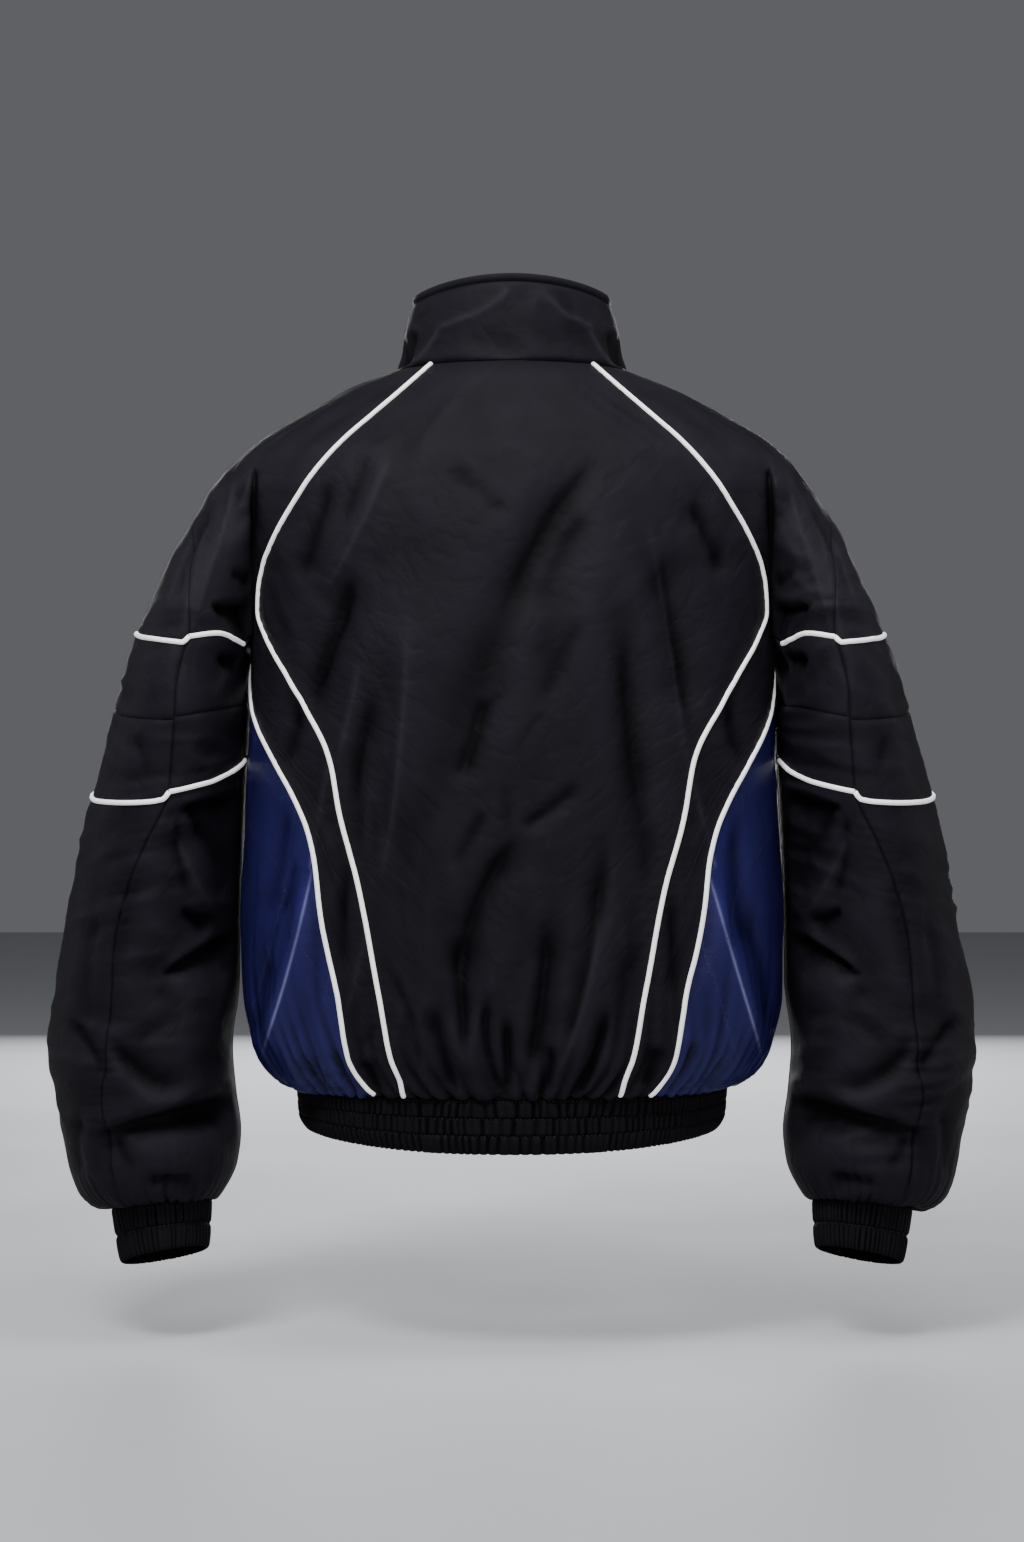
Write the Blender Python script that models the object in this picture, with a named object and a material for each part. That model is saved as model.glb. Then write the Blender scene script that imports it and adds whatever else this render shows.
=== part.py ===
"""Windbreaker, filled out as when worn: raglan sleeves in bands, stand collar, zipped front,
gathered cuffs and a gathered hem band, white piping along the seams.

Metres, +Z up. The back faces -Y, the zipped front faces +Y, and +X is the wearer's right.
The origin is the middle of the neck opening, level with the neck seam's side points.

Every panel is a wall on one shared surface. A body ring is measured by its turn in degrees
(0 centre back, 90 side, 180 centre front), a sleeve ring by its station (0 at the body,
1 rearmost, 2 outermost, 3 foremost, 4 at the body again). "along" is the length down the
garment from the neck seam, and each table has a row for each section.
"""

import math

import bmesh
import bpy
import numpy as np

for old in list(bpy.data.objects):
    bpy.data.objects.remove(old, do_unlink=True)

CLOTH = 0.0015  # wall of a panel
SEAM = 0.0003  # left between two pieces that are sewn together
NARROW_SEAM = SEAM / 2  # how far each of the two draws back from the seam line
PIPING_WIDTH = 0.0044
PIPING_HEIGHT = 0.0016
PIPING_LIFT = 0.0008  # clear of the panels' flat cells, which cut across their curves
PIPING_END = 0.585  # along, where the pipings turn under with the hem
ARMPIT = 0.220  # along
HEM_SEAM = 0.600  # along
TOUCH = 0.200  # along, where the raglan seam comes closest to the crease of the sleeve
ZIP_GAP = 0.0040  # from the middle to a front edge
SLEEVE_LENGTH = 0.462  # from the armpit to the cuff seam
SIDES = {"left": -1, "right": 1}

# ---------------------------------------------------------------- tables


def table(columns, *sections):
    """Named columns, a row for each section; the first column is what the rows are ordered by."""
    return {name: np.array(values, float) for name, values in zip(columns.split(), zip(*sections))}


def between(sections, column, at):
    """A column's value at a place between its rows, on a smooth curve that never overshoots them."""
    places = next(iter(sections.values()))
    values = sections[column]
    at = min(max(at, places[0]), places[-1])
    k = int(min(max(np.searchsorted(places, at) - 1, 0), len(places) - 2))
    steps = np.diff(places)
    slopes = np.diff(values) / steps

    def slope(row):
        if row == 0:
            return slopes[0]
        if row == len(places) - 1:
            return slopes[-1]
        before, after = slopes[row - 1], slopes[row]
        return 0.0 if before * after <= 0 else 2 * before * after / (before + after)

    t = (at - places[k]) / steps[k]
    start, end = slope(k) * steps[k], slope(k + 1) * steps[k]
    return (
        values[k] * (2 * t**3 - 3 * t**2 + 1)
        + start * (t**3 - 2 * t**2 + t)
        + values[k + 1] * (3 * t**2 - 2 * t**3)
        + end * (t**3 - t**2)
    )


# Rings of the body, and above the armpit the rings of the body part of the yoke.
BODY = table(
    "along  z_side  z_back  z_front  width  back   front  roundness line_1_x line_2_turn side_seam",
    (0.000, 0.000, 0.000, -0.035, 0.0940, 0.075, 0.075, 2.00, 0.0640, 95, 0),
    (0.015, -0.015, -0.014, -0.045, 0.1300, 0.088, 0.088, 2.00, 0.0780, 95, 0),
    (0.031, -0.031, -0.030, -0.056, 0.1600, 0.098, 0.098, 2.00, 0.0953, 95, 0),
    (0.047, -0.047, -0.046, -0.067, 0.1890, 0.107, 0.107, 2.00, 0.1131, 95, 0),
    (0.064, -0.064, -0.063, -0.080, 0.2150, 0.115, 0.116, 2.05, 0.1320, 95, 0),
    (0.080, -0.080, -0.079, -0.093, 0.2320, 0.122, 0.123, 2.10, 0.1470, 95, 0),
    (0.097, -0.097, -0.096, -0.107, 0.2380, 0.128, 0.130, 2.15, 0.1608, 95, 0),
    (0.113, -0.113, -0.112, -0.121, 0.2330, 0.133, 0.135, 2.20, 0.1719, 95, 0),
    (0.130, -0.130, -0.129, -0.135, 0.2280, 0.137, 0.140, 2.25, 0.1822, 95, 0),
    (0.146, -0.146, -0.145, -0.149, 0.2240, 0.140, 0.143, 2.30, 0.1906, 95, 0),
    (0.162, -0.162, -0.162, -0.164, 0.2205, 0.143, 0.146, 2.30, 0.1972, 95, 0),
    (0.180, -0.180, -0.180, -0.181, 0.2175, 0.146, 0.150, 2.35, 0.2015, 95, 0),
    (0.200, -0.200, -0.200, -0.200, 0.2150, 0.149, 0.153, 2.40, 0.2025, 95, 0),
    (0.220, -0.220, -0.220, -0.220, 0.2135, 0.151, 0.155, 2.40, 0.1948, 95, 0),
    (0.262, -0.262, -0.262, -0.262, 0.2130, 0.153, 0.158, 2.40, 0.1693, 83, 1.6),
    (0.310, -0.310, -0.310, -0.309, 0.2145, 0.156, 0.160, 2.40, 0.1451, 61.5, 3.6),
    (0.350, -0.350, -0.350, -0.348, 0.2162, 0.157, 0.162, 2.40, 0.1358, 49, 5.6),
    (0.392, -0.392, -0.391, -0.389, 0.2190, 0.158, 0.163, 2.40, 0.1248, 42, 7.6),
    (0.440, -0.440, -0.438, -0.436, 0.2214, 0.159, 0.163, 2.40, 0.1139, 39, 9.6),
    (0.474, -0.474, -0.471, -0.469, 0.2214, 0.159, 0.163, 2.40, 0.1069, 36, 11.6),
    (0.507, -0.507, -0.503, -0.501, 0.2198, 0.159, 0.162, 2.40, 0.1009, 33.5, 12.6),
    (0.536, -0.536, -0.531, -0.529, 0.2150, 0.157, 0.160, 2.40, 0.0957, 33.2, 13.6),
    (0.556, -0.556, -0.550, -0.548, 0.2090, 0.153, 0.156, 2.38, 0.0901, 33, 13.6),
    (0.572, -0.572, -0.565, -0.562, 0.1980, 0.147, 0.150, 2.35, 0.0834, 32.3, 13.6),
    (0.584, -0.584, -0.577, -0.572, 0.1860, 0.141, 0.143, 2.32, 0.0805, 31.6, 13.6),
    (0.593, -0.5855, -0.580, -0.573, 0.1800, 0.137, 0.139, 2.30, 0.0800, 31.6, 13.6),
    (0.600, -0.5862, -0.581, -0.574, 0.1745, 0.134, 0.136, 2.30, 0.0795, 31.6, 13.6),
)

# The sleeve's part of the yoke rings. The crease divides it from the body; pinch is how deep
# the crease is (0 none, 1 the whole sleeve stands apart); seam is the station of the back seam.
YOKE = table(
    "along  ridge   crease_x rear    fore   pinch  seam",
    (0.000, 0.0940, 0.0825, 0.040, 0.040, 0.00, 2.00),
    (0.015, 0.1300, 0.1142, 0.050, 0.050, 0.00, 2.00),
    (0.031, 0.1600, 0.1405, 0.058, 0.058, 0.00, 2.00),
    (0.047, 0.1890, 0.1660, 0.066, 0.068, 0.00, 2.00),
    (0.064, 0.2150, 0.1895, 0.073, 0.076, 0.00, 2.00),
    (0.080, 0.2320, 0.2050, 0.079, 0.083, 0.00, 2.00),
    (0.097, 0.2435, 0.2055, 0.085, 0.090, 0.10, 1.98),
    (0.113, 0.2540, 0.2060, 0.091, 0.097, 0.24, 1.85),
    (0.130, 0.2640, 0.2065, 0.096, 0.102, 0.40, 1.55),
    (0.146, 0.2720, 0.2070, 0.100, 0.106, 0.56, 1.32),
    (0.162, 0.2805, 0.2072, 0.103, 0.109, 0.70, 1.20),
    (0.180, 0.2890, 0.2077, 0.105, 0.112, 0.84, 1.12),
    (0.200, 0.2975, 0.2082, 0.106, 0.113, 0.95, 1.05),
    (0.220, 0.3060, 0.2085, 0.106, 0.114, 1.00, 1.00),
)

# Rings of the sleeve below the armpit. inner and outer are x, lean and tip are the rise of the
# ring's plane outwards and forwards, square is how full its corners are.
SLEEVE = table(
    "below  z       inner   outer   rear    fore   lean   tip    square seam",
    (0.000, -0.220, 0.2145, 0.3060, -0.106, 0.114, 0.00, 0.00, 0.60, 1.00),
    (0.030, -0.249, 0.2152, 0.3160, -0.105, 0.113, 0.00, 0.03, 0.60, 0.98),
    (0.060, -0.277, 0.2165, 0.3245, -0.104, 0.112, -0.02, 0.06, 0.60, 0.95),
    (0.092, -0.308, 0.2175, 0.3350, -0.102, 0.110, -0.12, 0.07, 0.60, 0.92),
    (0.122, -0.337, 0.2185, 0.3440, -0.100, 0.108, -0.21, 0.08, 0.60, 0.90),
    (0.160, -0.375, 0.2215, 0.3530, -0.097, 0.105, -0.20, 0.07, 0.59, 0.97),
    (0.200, -0.415, 0.2245, 0.3600, -0.093, 0.101, -0.17, 0.06, 0.58, 1.04),
    (0.245, -0.460, 0.2255, 0.3680, -0.090, 0.098, -0.13, 0.04, 0.58, 1.10),
    (0.290, -0.508, 0.2260, 0.3750, -0.087, 0.095, -0.09, 0.02, 0.58, 1.13),
    (0.335, -0.555, 0.2295, 0.3785, -0.085, 0.092, -0.06, 0.00, 0.58, 1.14),
    (0.375, -0.592, 0.2265, 0.3740, -0.083, 0.088, -0.04, -0.03, 0.58, 1.18),
    (0.405, -0.623, 0.2225, 0.3680, -0.081, 0.084, -0.03, -0.06, 0.58, 1.23),
    (0.428, -0.650, 0.2255, 0.3630, -0.076, 0.078, -0.04, -0.10, 0.58, 1.23),
    (0.444, -0.671, 0.2345, 0.3540, -0.067, 0.066, -0.06, -0.13, 0.57, 1.20),
    (0.454, -0.681, 0.2425, 0.3380, -0.056, 0.052, -0.08, -0.16, 0.56, 1.20),
    (0.462, -0.680, 0.2465, 0.3275, -0.048, 0.043, -0.10, -0.18, 0.56, 1.20),
)

# The stand collar, up from the neck seam.
COLLAR = table(
    "up     z_side  z_back  z_front  width   back    front",
    (0.000, 0.0000, 0.0000, -0.035, 0.0940, 0.0750, 0.0750),
    (0.016, 0.0160, 0.0165, -0.019, 0.0892, 0.0722, 0.0715),
    (0.036, 0.0355, 0.0370, 0.001, 0.0872, 0.0700, 0.0680),
    (0.054, 0.0530, 0.0555, 0.018, 0.0832, 0.0672, 0.0648),
    (0.0600, 0.0590, 0.0620, 0.0240, 0.0816, 0.0660, 0.0636),
    (0.0685, 0.0670, 0.0705, 0.0320, 0.0800, 0.0648, 0.0622),
)
COLLAR_ROUNDNESS = 2.0
COLLAR_WALL = 0.0020
COLLAR_EDGE = 0.0600  # up, where the turned edge is sewn on
COLLAR_TOP = 0.0685
COLLAR_ROWS = (0.0004, 0.016, 0.036, 0.050, COLLAR_EDGE)
EDGE_ROWS = (COLLAR_EDGE, 0.0645, COLLAR_TOP)
COLLAR_COLUMNS = 28

# Largest folds of the back and front, from (x0, z0) to (x1, z1); bend moves the middle sideways.
# Troughs have a negative height. face is -1 on the back, 1 on the front.
FOLDS = table(
    "face  x0     z0      x1      z1      bend    width  height",
    (-1, 0.053, -0.095, -0.049, -0.342, -0.012, 0.020, -0.0060),
    (-1, 0.058, -0.130, 0.026, -0.262, -0.006, 0.018, -0.0035),
    (-1, -0.100, -0.080, -0.138, -0.180, 0.004, 0.024, 0.0045),
    (-1, -0.126, -0.180, -0.165, -0.285, 0.004, 0.018, -0.0045),
    (-1, 0.114, -0.165, 0.137, -0.270, 0.003, 0.018, -0.0040),
    (-1, 0.083, -0.190, 0.098, -0.357, 0.006, 0.018, -0.0040),
    (-1, -0.080, -0.214, -0.088, -0.360, 0.005, 0.022, 0.0040),
    (-1, -0.005, -0.390, -0.038, -0.530, -0.018, 0.020, -0.0050),
    (-1, 0.025, -0.450, 0.013, -0.560, 0.003, 0.018, -0.0045),
    (-1, 0.064, -0.435, 0.044, -0.560, 0.004, 0.020, 0.0045),
    (1, -0.085, -0.110, -0.040, -0.270, 0.008, 0.020, -0.0050),
    (1, 0.100, -0.100, 0.130, -0.250, 0.004, 0.024, 0.0045),
    (1, -0.110, -0.200, -0.085, -0.360, 0.005, 0.020, -0.0045),
    (1, 0.080, -0.420, 0.060, -0.560, 0.006, 0.020, 0.0050),
    (1, -0.070, -0.430, -0.050, -0.560, 0.006, 0.020, 0.0045),
)

# Largest folds of a sleeve, on its rear (-1) and fore (1) face.
SLEEVE_FOLDS = table(
    "face  x0     z0      x1      z1      bend   width  height",
    (-1, 0.226, -0.250, 0.262, -0.236, 0.000, 0.014, -0.0050),
    (-1, 0.222, -0.440, 0.290, -0.500, 0.006, 0.018, -0.0065),
    (-1, 0.250, -0.360, 0.270, -0.440, 0.004, 0.016, -0.0045),
    (-1, 0.245, -0.530, 0.285, -0.610, 0.004, 0.020, 0.0050),
    (-1, 0.225, -0.605, 0.335, -0.625, 0.006, 0.016, -0.0080),
    (1, 0.226, -0.260, 0.290, -0.300, 0.004, 0.018, -0.0055),
    (1, 0.230, -0.440, 0.300, -0.480, 0.006, 0.020, -0.0065),
    (1, 0.240, -0.600, 0.340, -0.620, 0.006, 0.018, -0.0075),
)


def fold_height(folds, face, x, z):
    """The sum of the soft ridges and troughs at a place on a face, seen from that side."""
    total = 0.0
    for k in range(len(folds["x0"])):
        if folds["face"][k] != face:
            continue
        start = np.array((folds["x0"][k], folds["z0"][k]))
        run = np.array((folds["x1"][k], folds["z1"][k])) - start
        length = float(np.hypot(*run))
        run = run / length
        off = np.array((x, z)) - start
        t = float(off @ run) / length
        if not -0.15 < t < 1.15:
            continue
        sideways = float(off @ np.array((-run[1], run[0]))) - folds["bend"][k] * 4 * t * (1 - t)
        fade = ease((t + 0.15) / 0.35) * ease((1.15 - t) / 0.35)
        total += folds["height"][k] * fade * math.exp(-((sideways / folds["width"][k]) ** 2))
    return total


def ease(t):
    """0 to 1, softly at both ends."""
    t = min(max(t, 0.0), 1.0)
    return t * t * (3 - 2 * t)


# ---------------------------------------------------------------- the shared surface


def signed_power(value, power):
    return math.copysign(abs(value) ** power, value)


def rounded_ring(turn, width, back, front, roundness, z_side, z_back, z_front):
    """A point of a ring whose sides are as full as roundness says (2 is an ellipse)."""
    s, c = math.sin(math.radians(turn)), math.cos(math.radians(turn))
    power = 2 / roundness
    end = z_back if c > 0 else z_front
    return np.array(
        (
            width * signed_power(s, power),
            -(back if c > 0 else front) * signed_power(c, power),
            z_side + (end - z_side) * c * c,
        )
    )


def body_at(along, turn):
    """A point of the body, before its folds."""
    shape = (between(BODY, name, along) for name in ("width", "back", "front", "roundness"))
    heights = (between(BODY, name, along) for name in ("z_side", "z_back", "z_front"))
    return rounded_ring(turn, *shape, *heights)


def turn_of(along, x):
    """The turn, on the back, at which the body is x from the middle."""
    share = min(abs(x) / between(BODY, "width", along), 1.0)
    return math.degrees(math.asin(share ** (between(BODY, "roundness", along) / 2)))


def crease_turn(along):
    return turn_of(along, between(YOKE, "crease_x", along))


def quarter(start, end, first, square, t):
    """A quarter of a rounded ring, from start to end; first is the axis it sets out along."""
    start, end = np.array(start, float), np.array(end, float)
    one, two = start.copy(), end.copy()
    one[first] += square * (end[first] - start[first])
    two[1 - first] -= square * (end[1 - first] - start[1 - first])
    return (
        (1 - t) ** 3 * start + 3 * (1 - t) ** 2 * t * one + 3 * (1 - t) * t**2 * two + t**3 * end
    )


def chain(station, inner, outer, rear, fore, square):
    """The plan of a sleeve ring at a station from 0 to 4."""
    middle = (inner + outer) / 2
    half = (rear + fore) / 2
    corners = ((inner, half), (middle, rear), (outer, half), (middle, fore), (inner, half))
    k = min(int(station), 3)
    return quarter(corners[k], corners[k + 1], 1 - k % 2, square, station - k)


CREASE_STATION = 0.42  # where a sleeve ring meets the body's crease, on its rear and its fore


def cap_at(along, station):
    """A point of the sleeve cap; station runs from the rear crease, 0.42, to the fore one, 3.58."""
    crease = crease_turn(along)
    ridge = between(YOKE, "ridge", along)
    crease_x = between(YOKE, "crease_x", along)
    rear = station <= 2
    steps = station if rear else 4 - station
    share = (steps - CREASE_STATION) / (2 - CREASE_STATION)
    turn = crease + (90 - crease) * share
    heights = [between(BODY, name, along) for name in ("z_side", "z_back", "z_front")]
    depths = [between(BODY, name, along) for name in ("back", "front")]
    roundness = between(BODY, "roundness", along)
    whole = rounded_ring(turn if rear else 180 - turn, ridge, *depths, roundness, *heights)
    root = body_at(along, crease if rear else 180 - crease)
    root_whole = rounded_ring(crease if rear else 180 - crease, ridge, *depths, roundness, *heights)
    fade = (1 - share) ** 2
    whole = whole + (root - root_whole) * fade
    edges = (crease_x + 0.0005, ridge, -between(YOKE, "rear", along), between(YOKE, "fore", along), 0.6)
    lobe = np.append(chain(station, *edges), whole[2])
    lobe_root = chain(CREASE_STATION if rear else 4 - CREASE_STATION, *edges)
    lobe[:2] += (root[:2] - lobe_root) * fade
    pinch = between(YOKE, "pinch", along)
    return whole * (1 - pinch) + lobe * pinch


UNDERARM_GAP = 0.0010  # between the sleeve and the body under the arm
HUG = 0.050  # how far down the sleeve still takes its form from the armpit ring


def armpit_ring(station):
    """The sleeve's first ring: the cap's lower edge, closed along the body under the arm."""
    past = min(station, 4 - station) - CREASE_STATION
    if past >= 0:
        aside = UNDERARM_GAP * (1 - ease(past / 0.35))
        return cap_at(ARMPIT, station) + np.array((aside, 0, 0))
    crease = crease_turn(ARMPIT)
    beyond = station + CREASE_STATION if station <= CREASE_STATION else station - 4 + CREASE_STATION
    turn = 180 - crease - (180 - 2 * crease) * beyond / (2 * CREASE_STATION)
    return body_at(ARMPIT, turn) + np.array((UNDERARM_GAP, 0, 0))


def sleeve_at(below, station):
    """A point of the sleeve under the armpit, before its folds."""
    station = station % 4
    names = ("inner", "outer", "rear", "fore", "square")
    inner, outer, rear, fore, square = (between(SLEEVE, name, below) for name in names)
    x, y = chain(station, inner, outer, rear, fore, square)
    lean, tip = between(SLEEVE, "lean", below), between(SLEEVE, "tip", below)
    z = between(SLEEVE, "z", below) + lean * (x - (inner + outer) / 2) + tip * (y - (rear + fore) / 2)
    point = np.array((x, y, z))
    fade = (1 - min(below / HUG, 1.0)) ** 2
    if fade > 0:
        first = [between(SLEEVE, name, 0.0) for name in names]
        top = np.append(chain(station, *first), SLEEVE["z"][0])
        point = point + (armpit_ring(station) - top) * fade
    return point


def collar_at(up, turn):
    shape = [between(COLLAR, name, up) for name in ("width", "back", "front")]
    heights = [between(COLLAR, name, up) for name in ("z_side", "z_back", "z_front")]
    return rounded_ring(turn, *shape, COLLAR_ROUNDNESS, *heights)


def outward(place, u, v, du, dv):
    """The outward direction of a surface at (u, v), u down the garment and v round it."""
    down = place(u + du, v) - place(u - du, v)
    round_it = place(u, v + dv) - place(u, v - dv)
    normal = np.cross(down, round_it)
    return normal / max(np.linalg.norm(normal), 1e-12)


def mirrored(vector, side):
    return np.array((vector[0] * side, vector[1], vector[2]))


def finished(place, u, v, du, dv, side, folds=None, inside=(0.0, 1.0)):
    """(point, outward direction) on one side of the garment, with the folds of that side."""
    low, high = inside
    centre = min(max(u, low + du), high - du)
    normal = outward(place, centre, v, du, dv)
    point, normal = mirrored(place(u, v), side), mirrored(normal, side)
    if folds is not None:
        face = -1 if point[1] < 0 else 1
        x = point[0] if folds is FOLDS else abs(point[0])
        facing = ease((abs(normal[1]) - 0.15) / 0.5)
        point = point + normal * fold_height(folds, face, x, point[2]) * facing
    return point, normal


def body(along, turn, side):
    """The body's finished surface."""
    return finished(body_at, along, turn, 0.002, 0.4, side, FOLDS, (0.0, HEM_SEAM))


def cap(along, station, side):
    point, normal = finished(cap_at, along, station, 0.002, 0.01, side, None, (0.0, ARMPIT))
    if along == ARMPIT:
        normal = normal + finished(sleeve_at, 0.0, station, 0.002, 0.01, side)[1]
    return point, normal / np.linalg.norm(normal)


def crease(along, side, rear=True):
    """The crease between body and cap, whose direction is between the two."""
    turn = crease_turn(along)
    point, one = body(along, turn if rear else 180 - turn, side)
    inside = CREASE_STATION + 0.02
    _, two = cap(along, inside if rear else 4 - inside, side)
    normal = one + two
    return point, normal / np.linalg.norm(normal)


def sleeve(below, station, side):
    reach = (0.0, SLEEVE_LENGTH)
    point, normal = finished(sleeve_at, below, station, 0.002, 0.01, side, SLEEVE_FOLDS, reach)
    if below == 0 and CREASE_STATION < station < 4 - CREASE_STATION:
        normal = cap(ARMPIT, station, side)[1]
    return point, normal


def collar(up, turn, side):
    point, normal = finished(collar_at, up, turn, 0.001, 0.4, side, None, (0.0, COLLAR_TOP))
    return point, -normal


# ---------------------------------------------------------------- walls from cells


class Piece:
    """A piece of cloth: cells between named corners, each corner with its point and direction."""

    def __init__(self, name, material, wall=CLOTH):
        self.name, self.material, self.wall = name, material, wall
        self.cells, self.corners = [], {}

    def corner(self, key, point_and_normal, wall=None):
        self.corners[key] = (*point_and_normal, self.wall if wall is None else wall)

    def cell(self, *keys):
        """A cell's corners, counter-clockwise from outside; a repeated corner makes a triangle."""
        kept = [key for k, key in enumerate(keys) if key != keys[k - 1]]
        self.cells.append(kept)

    def grid(self, rows, columns, closed=False):
        """Cells between every two rows and columns whose four corners exist."""
        last = columns if closed else columns - 1
        for r in range(rows - 1):
            for c in range(last):
                d = (c + 1) % columns
                self.cell((r, c), (r + 1, c), (r + 1, d), (r, d))

    def build(self, side=1, inset=NARROW_SEAM):
        cells = [list(reversed(cell)) for cell in self.cells] if side < 0 else self.cells
        edges = {}
        for cell in cells:
            for k, key in enumerate(cell):
                edges[(key, cell[(k + 1) % len(cell)])] = cell
        rim = [edge for edge in edges if (edge[1], edge[0]) not in edges]
        inwards = {}
        for a, b in rim:
            one, two = self.corners[a][0], self.corners[b][0]
            normal = self.corners[a][1] + self.corners[b][1]
            across = np.cross(normal, two - one)
            across /= max(np.linalg.norm(across), 1e-12)
            inwards.setdefault(a, []).append(across)
            inwards.setdefault(b, []).append(across)
        places = {}
        for key in {key for cell in cells for key in cell}:
            point, normal, wall = self.corners[key]
            if key in inwards:
                both = sum(inwards[key])
                closeness = max(float(both @ both) / 2, 0.3)
                point = point + both * inset / closeness
            places[key] = (point, point - normal * wall)
        numbers = {key: k for k, key in enumerate(places)}
        points = [places[key][0] for key in numbers] + [places[key][1] for key in numbers]
        under = len(numbers)
        faces = []
        for cell in cells:
            ids = [numbers[key] for key in cell]
            for k in range(1, len(ids) - 1):
                faces.append((ids[0], ids[k], ids[k + 1]))
                faces.append((ids[0] + under, ids[k + 1] + under, ids[k] + under))
        for a, b in rim:
            i, j = numbers[a], numbers[b]
            # the same diagonal from either side of a seam, so that twisted edges stay apart
            if tuple(self.corners[a][0][::-1].round(5)) > tuple(self.corners[b][0][::-1].round(5)):
                faces += [(j, i, j + under), (i, i + under, j + under)]
            else:
                faces += [(j, i, i + under), (j, i + under, j + under)]
        return solid(self.name, points, faces, self.material)


def solid(name, points, faces, material):
    mesh = bpy.data.meshes.new(name)
    mesh.from_pydata([tuple(float(c) for c in point) for point in points], [], faces)
    mesh.validate()
    mesh.shade_smooth()
    mesh.set_sharp_from_angle(angle=math.radians(40))
    piece = bpy.data.objects.new(name, mesh)
    piece.data.materials.append(material)
    bpy.context.scene.collection.objects.link(piece)
    return piece


def finish(name, colour, roughness, metallic=0.0):
    material = bpy.data.materials.new(name)
    material.use_nodes = True
    shader = material.node_tree.nodes["Principled BSDF"]
    shader.inputs["Base Color"].default_value = (*colour, 1)
    shader.inputs["Roughness"].default_value = roughness
    shader.inputs["Metallic"].default_value = metallic
    return material


BLACK = finish("black_nylon", (0.010, 0.011, 0.013), 0.42)
NAVY = finish("navy_satin", (0.016, 0.024, 0.085), 0.32)
WHITE = finish("white_piping", (0.72, 0.74, 0.78), 0.5)
KNIT = finish("black_elastic", (0.009, 0.010, 0.012), 0.55)
TAPE = finish("zip_tape", (0.012, 0.012, 0.014), 0.7)
PLASTIC = finish("black_plastic", (0.014, 0.014, 0.016), 0.35)
METAL = finish("dark_metal", (0.10, 0.10, 0.11), 0.3, 1.0)

# ---------------------------------------------------------------- rows and columns

YOKE_ROWS = (0.000, 0.018, 0.038, 0.060, 0.082, 0.106, 0.130, 0.154, 0.178, TOUCH, ARMPIT)
BODY_ROWS = (0.248, 0.275, 0.302, 0.332, 0.366, 0.405, 0.445, 0.485, 0.520, 0.548, 0.568, 0.583, 0.593, 0.600)
TOUCH_ROW = YOKE_ROWS.index(TOUCH)
ARMPIT_ROW = YOKE_ROWS.index(ARMPIT)
ALL_ROWS = YOKE_ROWS + BODY_ROWS
BACK_COLUMNS = 6  # on each side of the middle
STRIP_COLUMNS = 2  # between the raglan seam and the crease
UNDERARM_COLUMNS = 2
SIDE_COLUMNS = 5
FRONT_COLUMNS = 7
CAP_COLUMNS = {"raglan": 2, "rear": 5, "top": 3, "fore": 6}
UNDER_SLEEVE_COLUMNS = 2  # from the crease to the underarm seam, on each side of it


def raglan_turn(along):
    """The turn of the raglan seam on the back, which goes on down to the hem."""
    return turn_of(along, between(BODY, "line_1_x", along))


def side_turn(along):
    """The turn of the seam between the side strip and the side panel."""
    return between(BODY, "line_2_turn", along)


def front_turn(along):
    """The turn of the front raglan seam, which ends at the crease, and of the front side seam."""
    if along < ARMPIT:
        low = ease((along - TOUCH) / (ARMPIT - TOUCH))
        x = between(BODY, "line_1_x", min(along, TOUCH)) * (1 - low)
        return 180 - turn_of(along, x + between(YOKE, "crease_x", along) * low)
    return 180 - crease_turn(ARMPIT) + between(BODY, "side_seam", along)


def zip_turn(along, x=ZIP_GAP):
    return 180 - turn_of(along, x)


def spread(start, end, count):
    return [start + (end - start) * k / count for k in range(count + 1)]


# ---------------------------------------------------------------- body


def build_back():
    piece = Piece("back_panel", BLACK)
    columns = 2 * BACK_COLUMNS + 1
    for r, along in enumerate(ALL_ROWS):
        turns = spread(0, raglan_turn(along), BACK_COLUMNS)
        for c in range(columns):
            k = c - BACK_COLUMNS
            piece.corner((r, c), body(along, turns[abs(k)], -1 if k < 0 else 1))
    piece.grid(len(ALL_ROWS), columns)
    piece.build()


def strip_turns(along):
    """The turns of the strip's columns, which at the armpit keep one at the crease."""
    start = raglan_turn(along)
    crease_here = crease_turn(min(along, ARMPIT))
    above = spread(start, crease_here, STRIP_COLUMNS)
    if along < ARMPIT:
        return above
    armpit = above + spread(crease_here, side_turn(ARMPIT), UNDERARM_COLUMNS)[1:]
    shares = [(turn - start) / (armpit[-1] - start) for turn in armpit]
    even = spread(0, 1, STRIP_COLUMNS + UNDERARM_COLUMNS)
    fade = ease((along - ARMPIT) / 0.08)
    end = side_turn(along)
    return [start + (end - start) * (a * (1 - fade) + b * fade) for a, b in zip(shares, even)]


def build_side_strip(name, side):
    piece = Piece(f"side_strip_{name}", BLACK)
    for r, along in enumerate(ALL_ROWS[TOUCH_ROW:]):
        for c, turn in enumerate(strip_turns(along)):
            at_crease = c == STRIP_COLUMNS and along <= ARMPIT
            piece.corner((r, c), crease(along, side) if at_crease else body(along, turn, side))
    rows = len(ALL_ROWS) - TOUCH_ROW
    for r in range(rows - 1):
        upper = ALL_ROWS[TOUCH_ROW + r] < ARMPIT
        for c in range(STRIP_COLUMNS if upper else STRIP_COLUMNS + UNDERARM_COLUMNS):
            piece.cell((r, c), (r + 1, c), (r + 1, c + 1), (r, c + 1))
    piece.build(side)


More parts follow.
